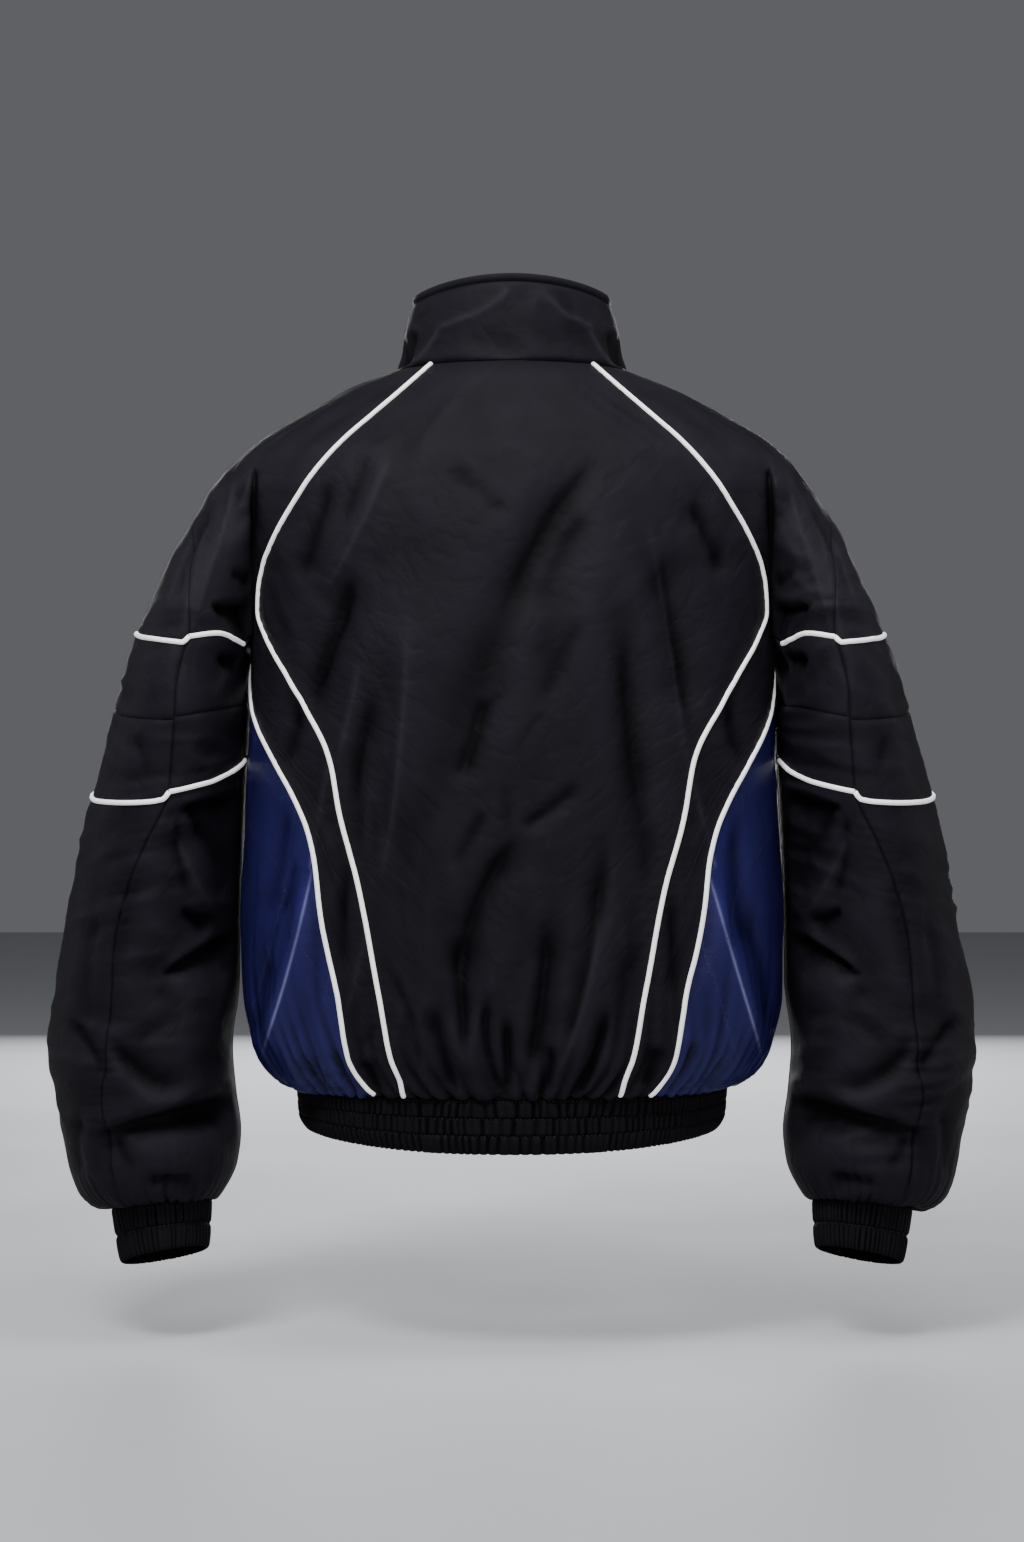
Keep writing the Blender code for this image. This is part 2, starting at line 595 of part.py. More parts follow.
def build_side_panel(name, side):
    piece = Piece(f"side_panel_{name}", NAVY)
    rows = ALL_ROWS[ARMPIT_ROW:]
    for r, along in enumerate(rows):
        for c, turn in enumerate(spread(side_turn(along), front_turn(along), SIDE_COLUMNS)):
            piece.corner((r, c), body(along, turn, side))
    piece.corner((0, SIDE_COLUMNS), crease(ARMPIT, side, rear=False))
    piece.grid(len(rows), SIDE_COLUMNS + 1)
    piece.build(side)


def build_front(name, side):
    piece = Piece(f"front_{name}", BLACK)
    for r, along in enumerate(ALL_ROWS):
        for c, turn in enumerate(spread(front_turn(along), zip_turn(along), FRONT_COLUMNS)):
            piece.corner((r, c), body(along, turn, side))
    piece.corner((ARMPIT_ROW, 0), crease(ARMPIT, side, rear=False))
    piece.grid(len(ALL_ROWS), FRONT_COLUMNS + 1)
    piece.build(side)


# ---------------------------------------------------------------- sleeve caps


def build_cap_back(name, side):
    piece = Piece(f"cap_back_{name}", BLACK)
    near, far = CAP_COLUMNS["raglan"], CAP_COLUMNS["rear"]
    for r, along in enumerate(YOKE_ROWS):
        if along <= TOUCH:
            for c, turn in enumerate(spread(raglan_turn(along), crease_turn(along), near)[:-1]):
                piece.corner((r, c), body(along, turn, side))
        piece.corner((r, near), crease(along, side))
        stations = spread(CREASE_STATION, between(YOKE, "seam", along), far)
        for c, station in enumerate(stations[1:]):
            piece.corner((r, near + 1 + c), cap(along, station, side))
    for r in range(len(YOKE_ROWS) - 1):
        first = 0 if YOKE_ROWS[r] < TOUCH else near
        for c in range(first, near + far):
            piece.cell((r, c), (r + 1, c), (r + 1, c + 1), (r, c + 1))
    piece.build(side)


def build_cap_front(name, side):
    piece = Piece(f"cap_front_{name}", BLACK)
    top, fore, near = CAP_COLUMNS["top"], CAP_COLUMNS["fore"], CAP_COLUMNS["raglan"]
    start_row = next(r for r, along in enumerate(YOKE_ROWS) if between(YOKE, "seam", along) < 1.999)
    for r, along in enumerate(YOKE_ROWS):
        seam = between(YOKE, "seam", along)
        stations = spread(seam, 2, top)[:-1] + spread(2, 4 - CREASE_STATION, fore)[:-1]
        for c, station in enumerate(stations):
            key = (r, c) if r >= start_row else (r, max(c, top))
            piece.corner(key, cap(along, station, side))
        piece.corner((r, top + fore), crease(along, side, rear=False))
        turns = spread(180 - crease_turn(along), front_turn(along), near)[1:]
        for c, turn in enumerate(turns):
            piece.corner((r, top + fore + 1 + c), body(along, turn, side))
    columns = top + fore + near + 1
    last = len(YOKE_ROWS) - 1

    def key(r, c):
        if c < top and r < start_row:
            c = top
        if r == last and c > top + fore:
            c = top + fore
        return (r, c)

    for r in range(last):
        for c in range(columns - 1):
            corners = [key(r, c), key(r + 1, c), key(r + 1, c + 1), key(r, c + 1)]
            if len(set(corners)) >= 3:
                piece.cell(*corners)
    piece.build(side)


# ---------------------------------------------------------------- sleeves

FIRST_BAND = 0.060  # below the armpit, the dark seam
SECOND_BAND = 0.122  # the lower piping
PIPING_JOG = 0.006  # how much lower a sleeve's piping is outside the back seam
SLEEVE_PARTS = (
    ("upper_band", (0.000, 0.014, 0.034, FIRST_BAND)),
    ("lower_band", (FIRST_BAND, 0.090, SECOND_BAND)),
    (
        "sleeve",
        (SECOND_BAND, 0.160, 0.200, 0.240, 0.280, 0.318, 0.352, 0.382, 0.406, 0.428, 0.444, 0.454, 0.462),
    ),
)


def inner_stations(below):
    """From the underarm seam, past the crease, to the back seam, in line with the cap's columns."""
    seam = between(SLEEVE, "seam", below)
    under = spread(0, CREASE_STATION, UNDER_SLEEVE_COLUMNS)
    return [seam * station for station in under + spread(CREASE_STATION, 1, CAP_COLUMNS["rear"])[1:]]


def outer_stations(below):
    """From the back seam, over the outside and the front, to the underarm seam."""
    seam = between(SLEEVE, "seam", below)
    top = spread(1, 2, CAP_COLUMNS["top"])
    fore = spread(2, 4 - CREASE_STATION, CAP_COLUMNS["fore"])[1:]
    under = spread(4 - CREASE_STATION, 4, UNDER_SLEEVE_COLUMNS)[1:]
    return [seam + (4 - seam) * (station - 1) / 3 for station in top + fore + under]


def build_sleeve(name, side):
    for part, rows in SLEEVE_PARTS:
        for half, stations_at in (("inner", inner_stations), ("outer", outer_stations)):
            piece = Piece(f"{part}_{half}_{name}", BLACK)
            for r, below in enumerate(rows):
                stations = stations_at(below)
                for c, station in enumerate(stations):
                    piece.corner((r, c), sleeve(below, station, side))
            piece.grid(len(rows), len(stations))
            piece.build(side)


# ---------------------------------------------------------------- gathered cuffs and hem band

HEM_WAVES = 60  # gathers round the whole band
HEM_WAVE = 0.0016  # depth of a gather
HEM_WALL = 0.0030
HEM_RING = {"width": 0.1752, "back": 0.1348, "front": 0.1368, "roundness": 2.3}
HEM_TOP = {"side": -0.5885, "back": -0.5832, "front": -0.5762}
HEM_TAPER = 0.012  # how much narrower the ring is at its lower edge
HEM_FALL = {"side": 0.0310, "back": 0.0408, "front": 0.0390}
CUFF_WAVES = 24
CUFF_LENGTH = 0.042
CUFF_WAVE = 0.0014
CUFF_WALL = 0.0028
CUFF = table(
    "down   x       y       z       half_x  half_y lean   tip",
    (0.000, 0.2870, -0.0025, -0.6803, 0.0403, 0.0453, -0.10, -0.18),
    (0.011, 0.2858, -0.0055, -0.6915, 0.0392, 0.0430, -0.13, -0.20),
    (0.021, 0.2849, -0.0080, -0.7020, 0.0380, 0.0412, -0.15, -0.22),
    (0.031, 0.2840, -0.0105, -0.7115, 0.0370, 0.0400, -0.17, -0.24),
    (CUFF_LENGTH, 0.2830, -0.0135, -0.7220, 0.0350, 0.0380, -0.19, -0.26),
)


def hem_at(share, turn):
    """A point of the hem band's plain ring; share is 0 at its seam and 1 at the hem."""
    heights = [HEM_TOP[end] - HEM_FALL[end] * share for end in ("side", "back", "front")]
    tuck = 1 - HEM_TAPER * share
    shape = (HEM_RING["width"] * tuck, HEM_RING["back"] * tuck, HEM_RING["front"] * tuck)
    return rounded_ring(turn, *shape, HEM_RING["roundness"], *heights)


def build_hem_band():
    """A ring open at the zip: gathers in its outer face over a plain inside."""
    piece = Piece("hem_band", KNIT)
    rows = ((0.0, 0.3), (0.17, 1.0), (0.36, 0.15), (0.64, 0.15), (0.83, 1.0), (1.0, 0.3))
    start = turn_of(HEM_SEAM, ZIP_GAP)
    columns = 2 * HEM_WAVES + 1
    for r, (share, fullness) in enumerate(rows):
        for c in range(columns):
            turn = -(180 - start) + (360 - 2 * start) * c / (columns - 1)
            side = -1 if turn < 0 else 1
            place = hem_at(share, abs(turn))
            normal = outward(hem_at, min(max(share, 0.01), 0.99), abs(turn), 0.01, 0.4)
            place, normal = mirrored(place, side), mirrored(normal, side)
            gather = HEM_WAVE * fullness * (-1 if c % 2 else 0)
            piece.corner((r, c), (place + normal * gather, normal), HEM_WALL + gather)
    piece.grid(len(rows), columns)
    piece.build()


def cuff_at(down, station):
    angle = station * math.pi / 2
    x = between(CUFF, "half_x", down) * -math.cos(angle)
    y = between(CUFF, "half_y", down) * -math.sin(angle)
    z = between(CUFF, "lean", down) * x + between(CUFF, "tip", down) * y
    centre = [between(CUFF, axis, down) for axis in "xyz"]
    return np.array((x, y, z)) + centre


def build_cuff(name, side):
    piece = Piece(f"cuff_{name}", KNIT)
    rows = ((0.000, 0.3), (0.011, 1.0), (0.021, 0.2), (0.031, 1.0), (CUFF_LENGTH, 0.3))
    columns = 2 * CUFF_WAVES
    for r, (down, fullness) in enumerate(rows):
        for c in range(columns):
            station = 4 * c / columns
            place = cuff_at(down, station)
            normal = outward(cuff_at, min(max(down, 0.002), CUFF_LENGTH - 0.002), station, 0.001, 0.01)
            gather = CUFF_WAVE * fullness * (-1 if c % 2 else 0)
            corner = (mirrored(place + normal * gather, side), mirrored(normal, side))
            piece.corner((r, c), corner, CUFF_WALL + gather)
    piece.grid(len(rows), columns, closed=True)
    piece.build(side)


# ---------------------------------------------------------------- collar


def collar_start():
    """The turn by which the collar's front edges stand back from the middle."""
    return math.degrees(math.asin(ZIP_GAP / COLLAR["width"][0]))


def build_collar():
    """A stand collar, open at the zip, and its turned edge."""
    parts = (("collar", COLLAR_ROWS, COLLAR_WALL), ("collar_edge", EDGE_ROWS, COLLAR_WALL + 0.0006))
    start = collar_start()
    for name, rows, wall in parts:
        piece = Piece(name, BLACK, wall)
        for r, up in enumerate(rows):
            for c in range(COLLAR_COLUMNS + 1):
                turn = -(180 - start) + (360 - 2 * start) * c / COLLAR_COLUMNS
                side = -1 if turn < 0 else 1
                piece.corner((r, c), collar(up, abs(turn), side))
        piece.grid(len(rows), COLLAR_COLUMNS + 1)
        piece.build(-1)


# ---------------------------------------------------------------- piping

PIPING_SECTION = ((-0.5, 0.0), (-0.36, 0.85), (0.36, 0.85), (0.5, 0.0))  # across, up


def build_piping(name, side, stations):
    """A raised cord of cloth over a seam. Each station is the seam's point and direction and
    a point of the surface on each side of it."""
    points, faces = [], []
    n = len(PIPING_SECTION)
    for (point, normal), before, after in stations:
        for across, up in PIPING_SECTION:
            towards = (after if across > 0 else before) - point
            towards = towards / np.linalg.norm(towards)
            foot = point + towards * abs(across) * PIPING_WIDTH
            points.append(foot + normal * (PIPING_LIFT + up * PIPING_HEIGHT))
    for r in range(len(stations) - 1):
        for k in range(n):
            a, b = r * n + k, r * n + (k + 1) % n
            faces += [(a, b, b + n), (a, b + n, a + n)]
    last = (len(stations) - 1) * n
    for k in range(1, n - 1):
        faces.append((0, k + 1, k))
        faces.append((last, last + k, last + k + 1))
    if side > 0:
        faces = [tuple(reversed(face)) for face in faces]
    solid(name, points, faces, WHITE)


def line_station(along, turns, side):
    """A station of a seam down the body, from the turns of the columns before, on and after it."""
    before, here, after = turns
    return body(along, here, side), body(along, before, side)[0], body(along, after, side)[0]


def build_long_piping(name, side):
    stations = []
    for along in (row for row in ALL_ROWS if row < PIPING_END):
        here = raglan_turn(along)
        before = here * (1 - 1 / BACK_COLUMNS)
        stations.append(line_station(along, (before, here, strip_turns(along)[1]), side))
    build_piping(f"raglan_piping_{name}", side, stations)
    stations = []
    for along in (row for row in ALL_ROWS if ARMPIT < row < PIPING_END):
        here = side_turn(along)
        after = here + (front_turn(along) - here) / SIDE_COLUMNS
        stations.append(line_station(along, (strip_turns(along)[-2], here, after), side))
    build_piping(f"side_piping_{name}", side, stations)


def ring_stations(place, u, stations, side, reach):
    """Piping stations round a sleeve, at u down the sleeve."""
    return [
        (place(u, station, side), place(u + reach, station, side)[0], place(u - reach, station, side)[0])
        for station in stations
    ]


def build_sleeve_piping(name, side):
    """The two pipings round a sleeve. Each is in two pieces that don't quite meet in line at
    the back seam: the outer one lies lower."""
    for which, below in (("upper", 0.004), ("lower", SECOND_BAND)):
        inner = inner_stations(below)[1 if which == "lower" else 2 :]
        outer = outer_stations(below)[: -1 if which == "lower" else -2]
        for half, stations, drop in (("inner", inner, 0.0), ("outer", outer, PIPING_JOG)):
            ring = ring_stations(sleeve, below + drop, stations, side, 0.003)
            build_piping(f"sleeve_piping_{which}_{half}_{name}", side, ring)


# ---------------------------------------------------------------- zip

TAPE_EDGES = (0.0016, 0.0075, 0.0135)  # x of a tape's columns, behind the front edge
TAPE_WALL = 0.0010
TAPE_BEHIND = 0.0005  # between the tape and the wall before it
NECK_TUCK = (0.0, 0.0708, -0.0385)  # where the tape passes inside the neck seam
HEM_TUCK = (0.0, 0.1312, -0.5720)  # where it passes inside the gathered seam of the hem
TUCK_SLOPE = np.array((0, 0.85, 0.53))
CHAIN_HALF = 0.0030
CHAIN_RISE = 0.0006  # how far the closed chain stands proud of the fronts
CHAIN_WALL = 0.0019
LAST_FRONT_ROW = 0.560  # along, below which the zip leaves the fronts for the band
BAND_ROWS = (0.10, 0.97)
SLIDER_UP = 0.0560  # how high on the collar the slider sits
SLIDER = {"half": 0.0045, "inner": 0.0030, "foot": 0.0009, "plate": 0.0024, "ear": 0.0058, "length": 0.014}
TAB_AXIS = {"proud": 0.0042, "above": 0.0030}  # from the collar's face, and above the slider's middle
TAB = {"neck": 0.0026, "paddle": 0.0044, "top": 0.0010, "shoulder": 0.0112, "flare": 0.0015}
TAB |= {"length": 0.036, "thick": 0.0016, "corner": 0.0022}


def flank(x, width, roundness):
    """The turn at which the front of a ring is x from the middle."""
    return 180 - math.degrees(math.asin((x / width) ** (roundness / 2)))


def on_edge(x, first, second):
    """The point x from the middle on the straight line through a panel's first two columns."""
    (one, normal), (two, _) = first, second
    share = (x - abs(one[0])) / (abs(two[0]) - abs(one[0]))
    return one + (two - one) * share, normal


def zip_places():
    """Down the middle of the front: for each row, a function of x and side that gives its
    point and direction, and the wall there."""
    rows = []
    start = collar_start()
    step = (360 - 2 * start) / COLLAR_COLUMNS

    def at_collar(up):
        turns = (180 - start, 180 - start - step)
        return lambda x, side: on_edge(x, collar(up, turns[0], side), collar(up, turns[1], side))

    def at_front(along):
        turns = spread(zip_turn(along), front_turn(along), FRONT_COLUMNS)[:2]
        return lambda x, side: on_edge(x, body(along, turns[0], side), body(along, turns[1], side))

    for up in reversed(COLLAR_ROWS[1:] + EDGE_ROWS[1:2]):
        rows.append((at_collar(up), COLLAR_WALL + 0.0006))
    rows.append((at_collar(0.004), COLLAR_WALL))
    rows.append((at_front(0.006), CLOTH))
    for along in ALL_ROWS[1:]:
        if along < LAST_FRONT_ROW:
            rows.append((at_front(along), CLOTH))
    for share in BAND_ROWS:
        rows.append((lambda x, side, s=share: band_place(s, x, side), HEM_WALL))
    return rows


def band_place(share, x, side):
    turn = flank(x, HEM_RING["width"], HEM_RING["roundness"])
    normal = outward(hem_at, min(max(share, 0.01), 0.99), turn, 0.01, 0.4)
    return mirrored(hem_at(share, turn), side), mirrored(normal, side)


def build_zip_tape(name, side):
    piece = Piece(f"zip_tape_{name}", TAPE, TAPE_WALL)
    rows = zip_places()
    rows.insert(len(rows) - len(BAND_ROWS), (HEM_TUCK, 0.0))
    rows.insert(len(COLLAR_ROWS) + 1, (NECK_TUCK, 0.0))
    for r, (place, wall) in enumerate(rows):
        for c, x in enumerate(reversed(TAPE_EDGES)):
            if callable(place):
                point, normal = place(x, side)
                point = point - normal * (wall + TAPE_BEHIND)
            else:
                point, normal = np.array(place) + np.array((x * side, 0, 0)), TUCK_SLOPE
            piece.corner((r, c), (point, normal))
    piece.grid(len(rows), len(TAPE_EDGES))
    piece.build(side, 0.0)


def build_zip_chain():
    piece = Piece("zip_chain", PLASTIC, CHAIN_WALL)
    rows = zip_places()[1:]
    for r, (place, _) in enumerate(rows):
        for c, x in enumerate((CHAIN_HALF, -CHAIN_HALF)):
            point, normal = place(abs(x), 1 if x > 0 else -1)
            piece.corner((r, c), (point + normal * CHAIN_RISE, normal))
    piece.grid(len(rows), 2)
    piece.build(1, 0.0)


def prism(name, outline, depth, material):
    """An outline in the local XZ plane (XY if depth is along Z), pushed along the other axis."""
    shape = bmesh.new()
    face = shape.faces.new([shape.verts.new(point) for point in outline])
    pushed = bmesh.ops.extrude_face_region(shape, geom=[face])
    moved = [item for item in pushed["geom"] if isinstance(item, bmesh.types.BMVert)]
    bmesh.ops.translate(shape, vec=depth, verts=moved)
    bmesh.ops.recalc_face_normals(shape, faces=shape.faces)
    bmesh.ops.triangulate(shape, faces=shape.faces)
    mesh = bpy.data.meshes.new(name)
    shape.to_mesh(mesh)
    shape.free()
    piece = bpy.data.objects.new(name, mesh)
    piece.data.materials.append(material)
    bpy.context.scene.collection.objects.link(piece)
    return piece


def build_slider_and_tab():
    """The slider is a channel whose two ears hold the tab; the tab's origin is on its hinge."""
    point, normal = collar(SLIDER_UP, 180, 1)
    tilt = math.atan2(normal[2], normal[1])
    half, inner, foot, plate, ear = (SLIDER[part] for part in ("half", "inner", "foot", "plate", "ear"))
    low = -SLIDER["length"] / 2
    channel = ((half, foot), (half, ear), (inner, ear), (inner, plate))
    outline = [(x, y, low) for x, y in channel] + [(-x, y, low) for x, y in reversed(channel)]
    slider = prism("zip_slider", outline, (0, 0, SLIDER["length"]), METAL)
    slider.location = point
    slider.rotation_euler = (tilt, 0, 0)
    neck, paddle, shoulder, length = (TAB[part] for part in ("neck", "paddle", "shoulder", "length"))
    corner = TAB["corner"]
    right = [(neck, TAB["top"]), (neck, -shoulder), (paddle, -shoulder - TAB["flare"])]
    for degrees in (0, 30, 60, 90):
        x, z = math.cos(math.radians(degrees)), math.sin(math.radians(degrees))
        right.append((paddle - corner + corner * x, -length + corner - corner * z))
    outline = right + [(-x, z) for x, z in reversed(right)]
    outline = [(x, -TAB["thick"] / 2, z) for x, z in outline]
    tab = prism("zip_pull_tab", outline, (0, TAB["thick"], 0), METAL)
    turn = np.array(((1, 0, 0), (0, math.cos(tilt), -math.sin(tilt)), (0, math.sin(tilt), math.cos(tilt))))
    tab.location = point + turn @ np.array((0, TAB_AXIS["proud"], TAB_AXIS["above"]))
    tab.rotation_euler = (tilt, 0, 0)


build_back()
build_hem_band()
build_collar()
build_zip_chain()
build_slider_and_tab()
for side_name, side_sign in SIDES.items():
    build_side_strip(side_name, side_sign)
    build_side_panel(side_name, side_sign)
    build_front(side_name, side_sign)
    build_zip_tape(side_name, side_sign)
    build_cap_back(side_name, side_sign)
    build_cap_front(side_name, side_sign)
    build_sleeve(side_name, side_sign)
    build_cuff(side_name, side_sign)
    build_long_piping(side_name, side_sign)
    build_sleeve_piping(side_name, side_sign)
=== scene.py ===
"""The looks of the windbreaker: sewn panels with their folds and gathers, piping, stitching,
a zip with its teeth, and the finish of each cloth, with painted shade in its hollows and painted
highlight on its folds and ridges.

Metres, +Z up. The back faces -Y, the zipped front faces +Y, and +X is the wearer's right.
A body ring is measured by its turn in degrees (0 centre back, 90 side, 180 centre front), a
sleeve ring by its station (0 at the body, 1 rearmost, 2 outermost, 3 foremost, 4 at the body
again). "along" is the length down the garment from the neck seam.
"""

import math

import bmesh
import bpy
import numpy as np
from mathutils import Matrix, Vector


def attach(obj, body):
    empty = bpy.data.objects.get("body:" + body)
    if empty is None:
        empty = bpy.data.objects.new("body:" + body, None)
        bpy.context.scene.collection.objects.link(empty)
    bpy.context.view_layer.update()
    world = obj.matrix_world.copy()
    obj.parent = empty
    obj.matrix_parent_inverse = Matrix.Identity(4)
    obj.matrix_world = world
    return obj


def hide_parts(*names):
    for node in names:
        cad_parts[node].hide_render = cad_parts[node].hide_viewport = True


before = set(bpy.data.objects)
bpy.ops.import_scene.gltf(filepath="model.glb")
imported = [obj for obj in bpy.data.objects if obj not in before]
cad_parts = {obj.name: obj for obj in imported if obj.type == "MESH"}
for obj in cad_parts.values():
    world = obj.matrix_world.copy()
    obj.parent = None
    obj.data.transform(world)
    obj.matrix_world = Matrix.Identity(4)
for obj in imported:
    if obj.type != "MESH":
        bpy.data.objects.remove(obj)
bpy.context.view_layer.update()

CLOTH = 0.0007  # thickness of the shell cloth
FINE = 0.0030  # spacing of a panel's mesh
PIPING_WIDTH = 0.0040
PIPING_RISE = 0.0019  # above the cloth
PIPING_SUNK = 0.0012  # and below
PIPING_END = 0.588  # along, where the pipings turn under with the hem
ARMPIT = 0.220  # along
HEM_SEAM = 0.600  # along
TOUCH = 0.200  # along, where the raglan seam comes closest to the crease of the sleeve
ZIP_GAP = 0.0040  # from the middle to a front edge
SLEEVE_LENGTH = 0.462  # from the armpit to the cuff seam
SIDES = {"left": -1, "right": 1}
BACK, FRONT = -1, 1  # the faces, by the sign of y

# ---------------------------------------------------------------- tables


def table(columns, *sections):
    """Named columns, a row for each section, ordered by the first column. Lengths are in
    millimetres, and a column with = before its name is a ratio, a turn or a station."""
    return {
        name.strip("="): np.array(values, float) / (1 if "=" in name else 1000)
        for name, values in zip(columns.split(), zip(*sections))
    }


def between(sections, column, at):
    """A column's values at places between its rows, on a smooth curve that never overshoots."""
    places, values = next(iter(sections.values())), sections[column]
    at = np.clip(np.asarray(at, float), places[0], places[-1])
    steps = np.diff(places)
    slopes = np.diff(values) / steps
    before, after = slopes[:-1], slopes[1:]
    alike = before * after > 0
    inner = np.where(alike, 2 * before * after / np.where(alike, before + after, 1), 0)
    ends = np.concatenate((slopes[:1], inner, slopes[-1:]))
    k = np.clip(np.searchsorted(places, at) - 1, 0, len(places) - 2)
    t = (at - places[k]) / steps[k]
    start, end = ends[k] * steps[k], ends[k + 1] * steps[k]
    rise = t * t * (3 - 2 * t)
    curve = start * t * (1 - t) ** 2 - end * t**2 * (1 - t)
    return values[k] * (1 - rise) + values[k + 1] * rise + curve


# Rings of the body, and above the armpit the rings of the body part of the yoke.
BODY = table(
    "along z_side z_back z_front width back front =roundness =side_seam",
    (0, 0, 0, -35, 94, 75, 75, 2, 0),
    (15, -15, -14, -45, 130, 88, 88, 2, 0),
    (31, -31, -30, -56, 160, 98, 98, 2, 0),
    (47, -47, -46, -67, 189, 107, 107, 2, 0),
    (64, -64, -63, -80, 215, 115, 116, 2.05, 0),
    (80, -80, -79, -93, 232, 122, 123, 2.1, 0),
    (97, -97, -96, -107, 238, 128, 130, 2.15, 0),
    (113, -113, -112, -121, 233, 133, 135, 2.2, 0),
    (130, -130, -129, -135, 228, 137, 140, 2.25, 0),
    (146, -146, -145, -149, 224, 140, 143, 2.3, 0),
    (162, -162, -162, -164, 220.5, 143, 146, 2.3, 0),
    (180, -180, -180, -181, 217.5, 146, 150, 2.35, 0),
    (200, -200, -200, -200, 215, 149, 153, 2.4, 0),
    (220, -220, -220, -220, 213.5, 151, 155, 2.4, 0),
    (262, -262, -262, -262, 213, 153, 158, 2.4, 1.6),
    (310, -310, -310, -309, 214.5, 156, 160, 2.4, 3.6),
    (350, -350, -350, -348, 216.2, 157, 162, 2.4, 5.6),
    (392, -392, -391, -389, 219, 158, 163, 2.4, 7.6),
    (440, -440, -438, -436, 221.4, 159, 163, 2.4, 9.6),
    (474, -474, -471, -469, 221.4, 159, 163, 2.4, 11.6),
    (507, -507, -503, -501, 219.8, 159, 162, 2.4, 12.6),
    (536, -536, -531, -529, 215, 157, 160, 2.4, 13.6),
    (556, -556, -550, -548, 209, 153, 156, 2.38, 13.6),
    (572, -572, -565, -562, 198, 147, 150, 2.35, 13.6),
    (584, -579.5, -577, -572, 186, 141, 143, 2.32, 13.6),
    (593, -580.5, -580, -573, 180, 137, 139, 2.3, 13.6),
    (600, -580.8, -581, -574, 174.5, 134, 136, 2.3, 13.6),
)

# The two seams of each side of the back: x of the raglan seam, which runs on down to the hem, and
# the turn of the one beside the side panel.
SEAM_LINES = table(
    "along raglan =side",
    (0, 64, 95), (15, 77.5, 95), (31, 94.3, 95), (47, 111.6, 95), (64, 130.1, 95), (80, 145.1, 95),
    (97, 158.9, 95), (113, 170, 95), (130, 181, 95), (146, 190, 95), (162, 197.5, 95), (180, 201.7, 95),
    (200, 202.9, 95), (220, 195.7, 95), (235, 187.7, 92.7), (250, 178.6, 87.5), (265, 170.3, 81.9),
    (280, 161.1, 75.8), (295, 151.7, 68.7), (310, 144.3, 62.1), (325, 139.7, 56.3), (340, 137.1, 51.2),
    (355, 134.8, 47.2), (372, 131.2, 43.7), (392, 125.6, 41.1), (412, 119.8, 39.6), (432, 115.3, 38.5),
    (452, 111.4, 37.4), (472, 108, 36), (492, 104.5, 34.4), (510, 101.2, 33.5), (528, 98.5, 33.3),
    (544, 95.9, 33.3), (556, 93.2, 33.5), (566, 89.5, 33.5), (576, 86.1, 33.1), (586, 84.2, 32.7),
    (600, 83.4, 32.9),
)

# The sleeve's part of the yoke rings. The crease divides it from the body; pinch is how deep
# the crease is (0 none, 1 the whole sleeve stands apart); seam is the station of the back seam.
YOKE = table(
    "along ridge crease_x rear fore =pinch =seam",
    (0, 94, 82.5, 40, 40, 0, 2),
    (15, 130, 114.2, 50, 50, 0, 2),
    (31, 160, 140.5, 58, 58, 0, 2),
    (47, 189, 166, 66, 68, 0, 2),
    (64, 215, 189.5, 73, 76, 0, 2),
    (80, 232, 205, 79, 83, 0, 2),
    (97, 243.5, 205.5, 85, 90, 0.1, 1.98),
    (113, 254, 206, 91, 97, 0.24, 1.85),
    (130, 264, 206.5, 96, 102, 0.4, 1.55),
    (146, 272, 207, 100, 106, 0.56, 1.32),
    (162, 280.5, 207.2, 103, 109, 0.7, 1.2),
    (180, 289, 207.7, 105, 112, 0.84, 1.12),
    (200, 297.5, 208.2, 106, 113, 0.95, 1.05),
    (220, 306, 208.5, 106, 114, 1, 1),
)

# Rings of the sleeve below the armpit. inner and outer are x, lean and tip are the rise of the
# ring's plane outwards and forwards, square is how full its corners are.
SLEEVE = table(
    "below z inner outer rear fore =lean =tip =square =seam",
    (0, -220, 214.5, 306, -106, 114, 0, 0, 0.6, 1),
    (30, -249, 214.7, 316, -105, 113, 0, 0.03, 0.6, 0.98),
    (60, -277, 215, 324.5, -104, 112, -0.02, 0.06, 0.6, 0.95),
    (92, -308, 216, 335, -102, 110, -0.12, 0.07, 0.6, 0.92),
    (122, -337, 217.3, 344, -100, 108, -0.21, 0.08, 0.6, 0.9),
    (160, -375, 219.4, 353, -97, 105, -0.2, 0.07, 0.59, 1.01),
    (200, -415, 221.9, 360, -93, 101, -0.17, 0.06, 0.58, 1.12),
    (245, -460, 223.2, 368, -90, 98, -0.13, 0.04, 0.58, 1.17),
    (290, -508, 224, 375, -87, 95, -0.09, 0.02, 0.58, 1.15),
    (335, -555, 229.5, 378.5, -85, 92, -0.06, 0, 0.58, 1.15),
    (375, -592, 226.5, 374, -83, 88, -0.04, -0.03, 0.58, 1.22),
    (405, -623, 222.5, 368, -81, 84, -0.03, -0.06, 0.58, 1.23),
    (428, -650, 225.5, 363, -76, 78, -0.04, -0.1, 0.58, 1.23),
    (444, -671, 234.5, 354, -67, 66, -0.06, -0.13, 0.57, 1.2),
    (454, -681, 242.5, 338, -56, 52, -0.08, -0.16, 0.56, 1.2),
    (462, -680, 246.5, 327.5, -48, 43, -0.1, -0.18, 0.56, 1.2),
)

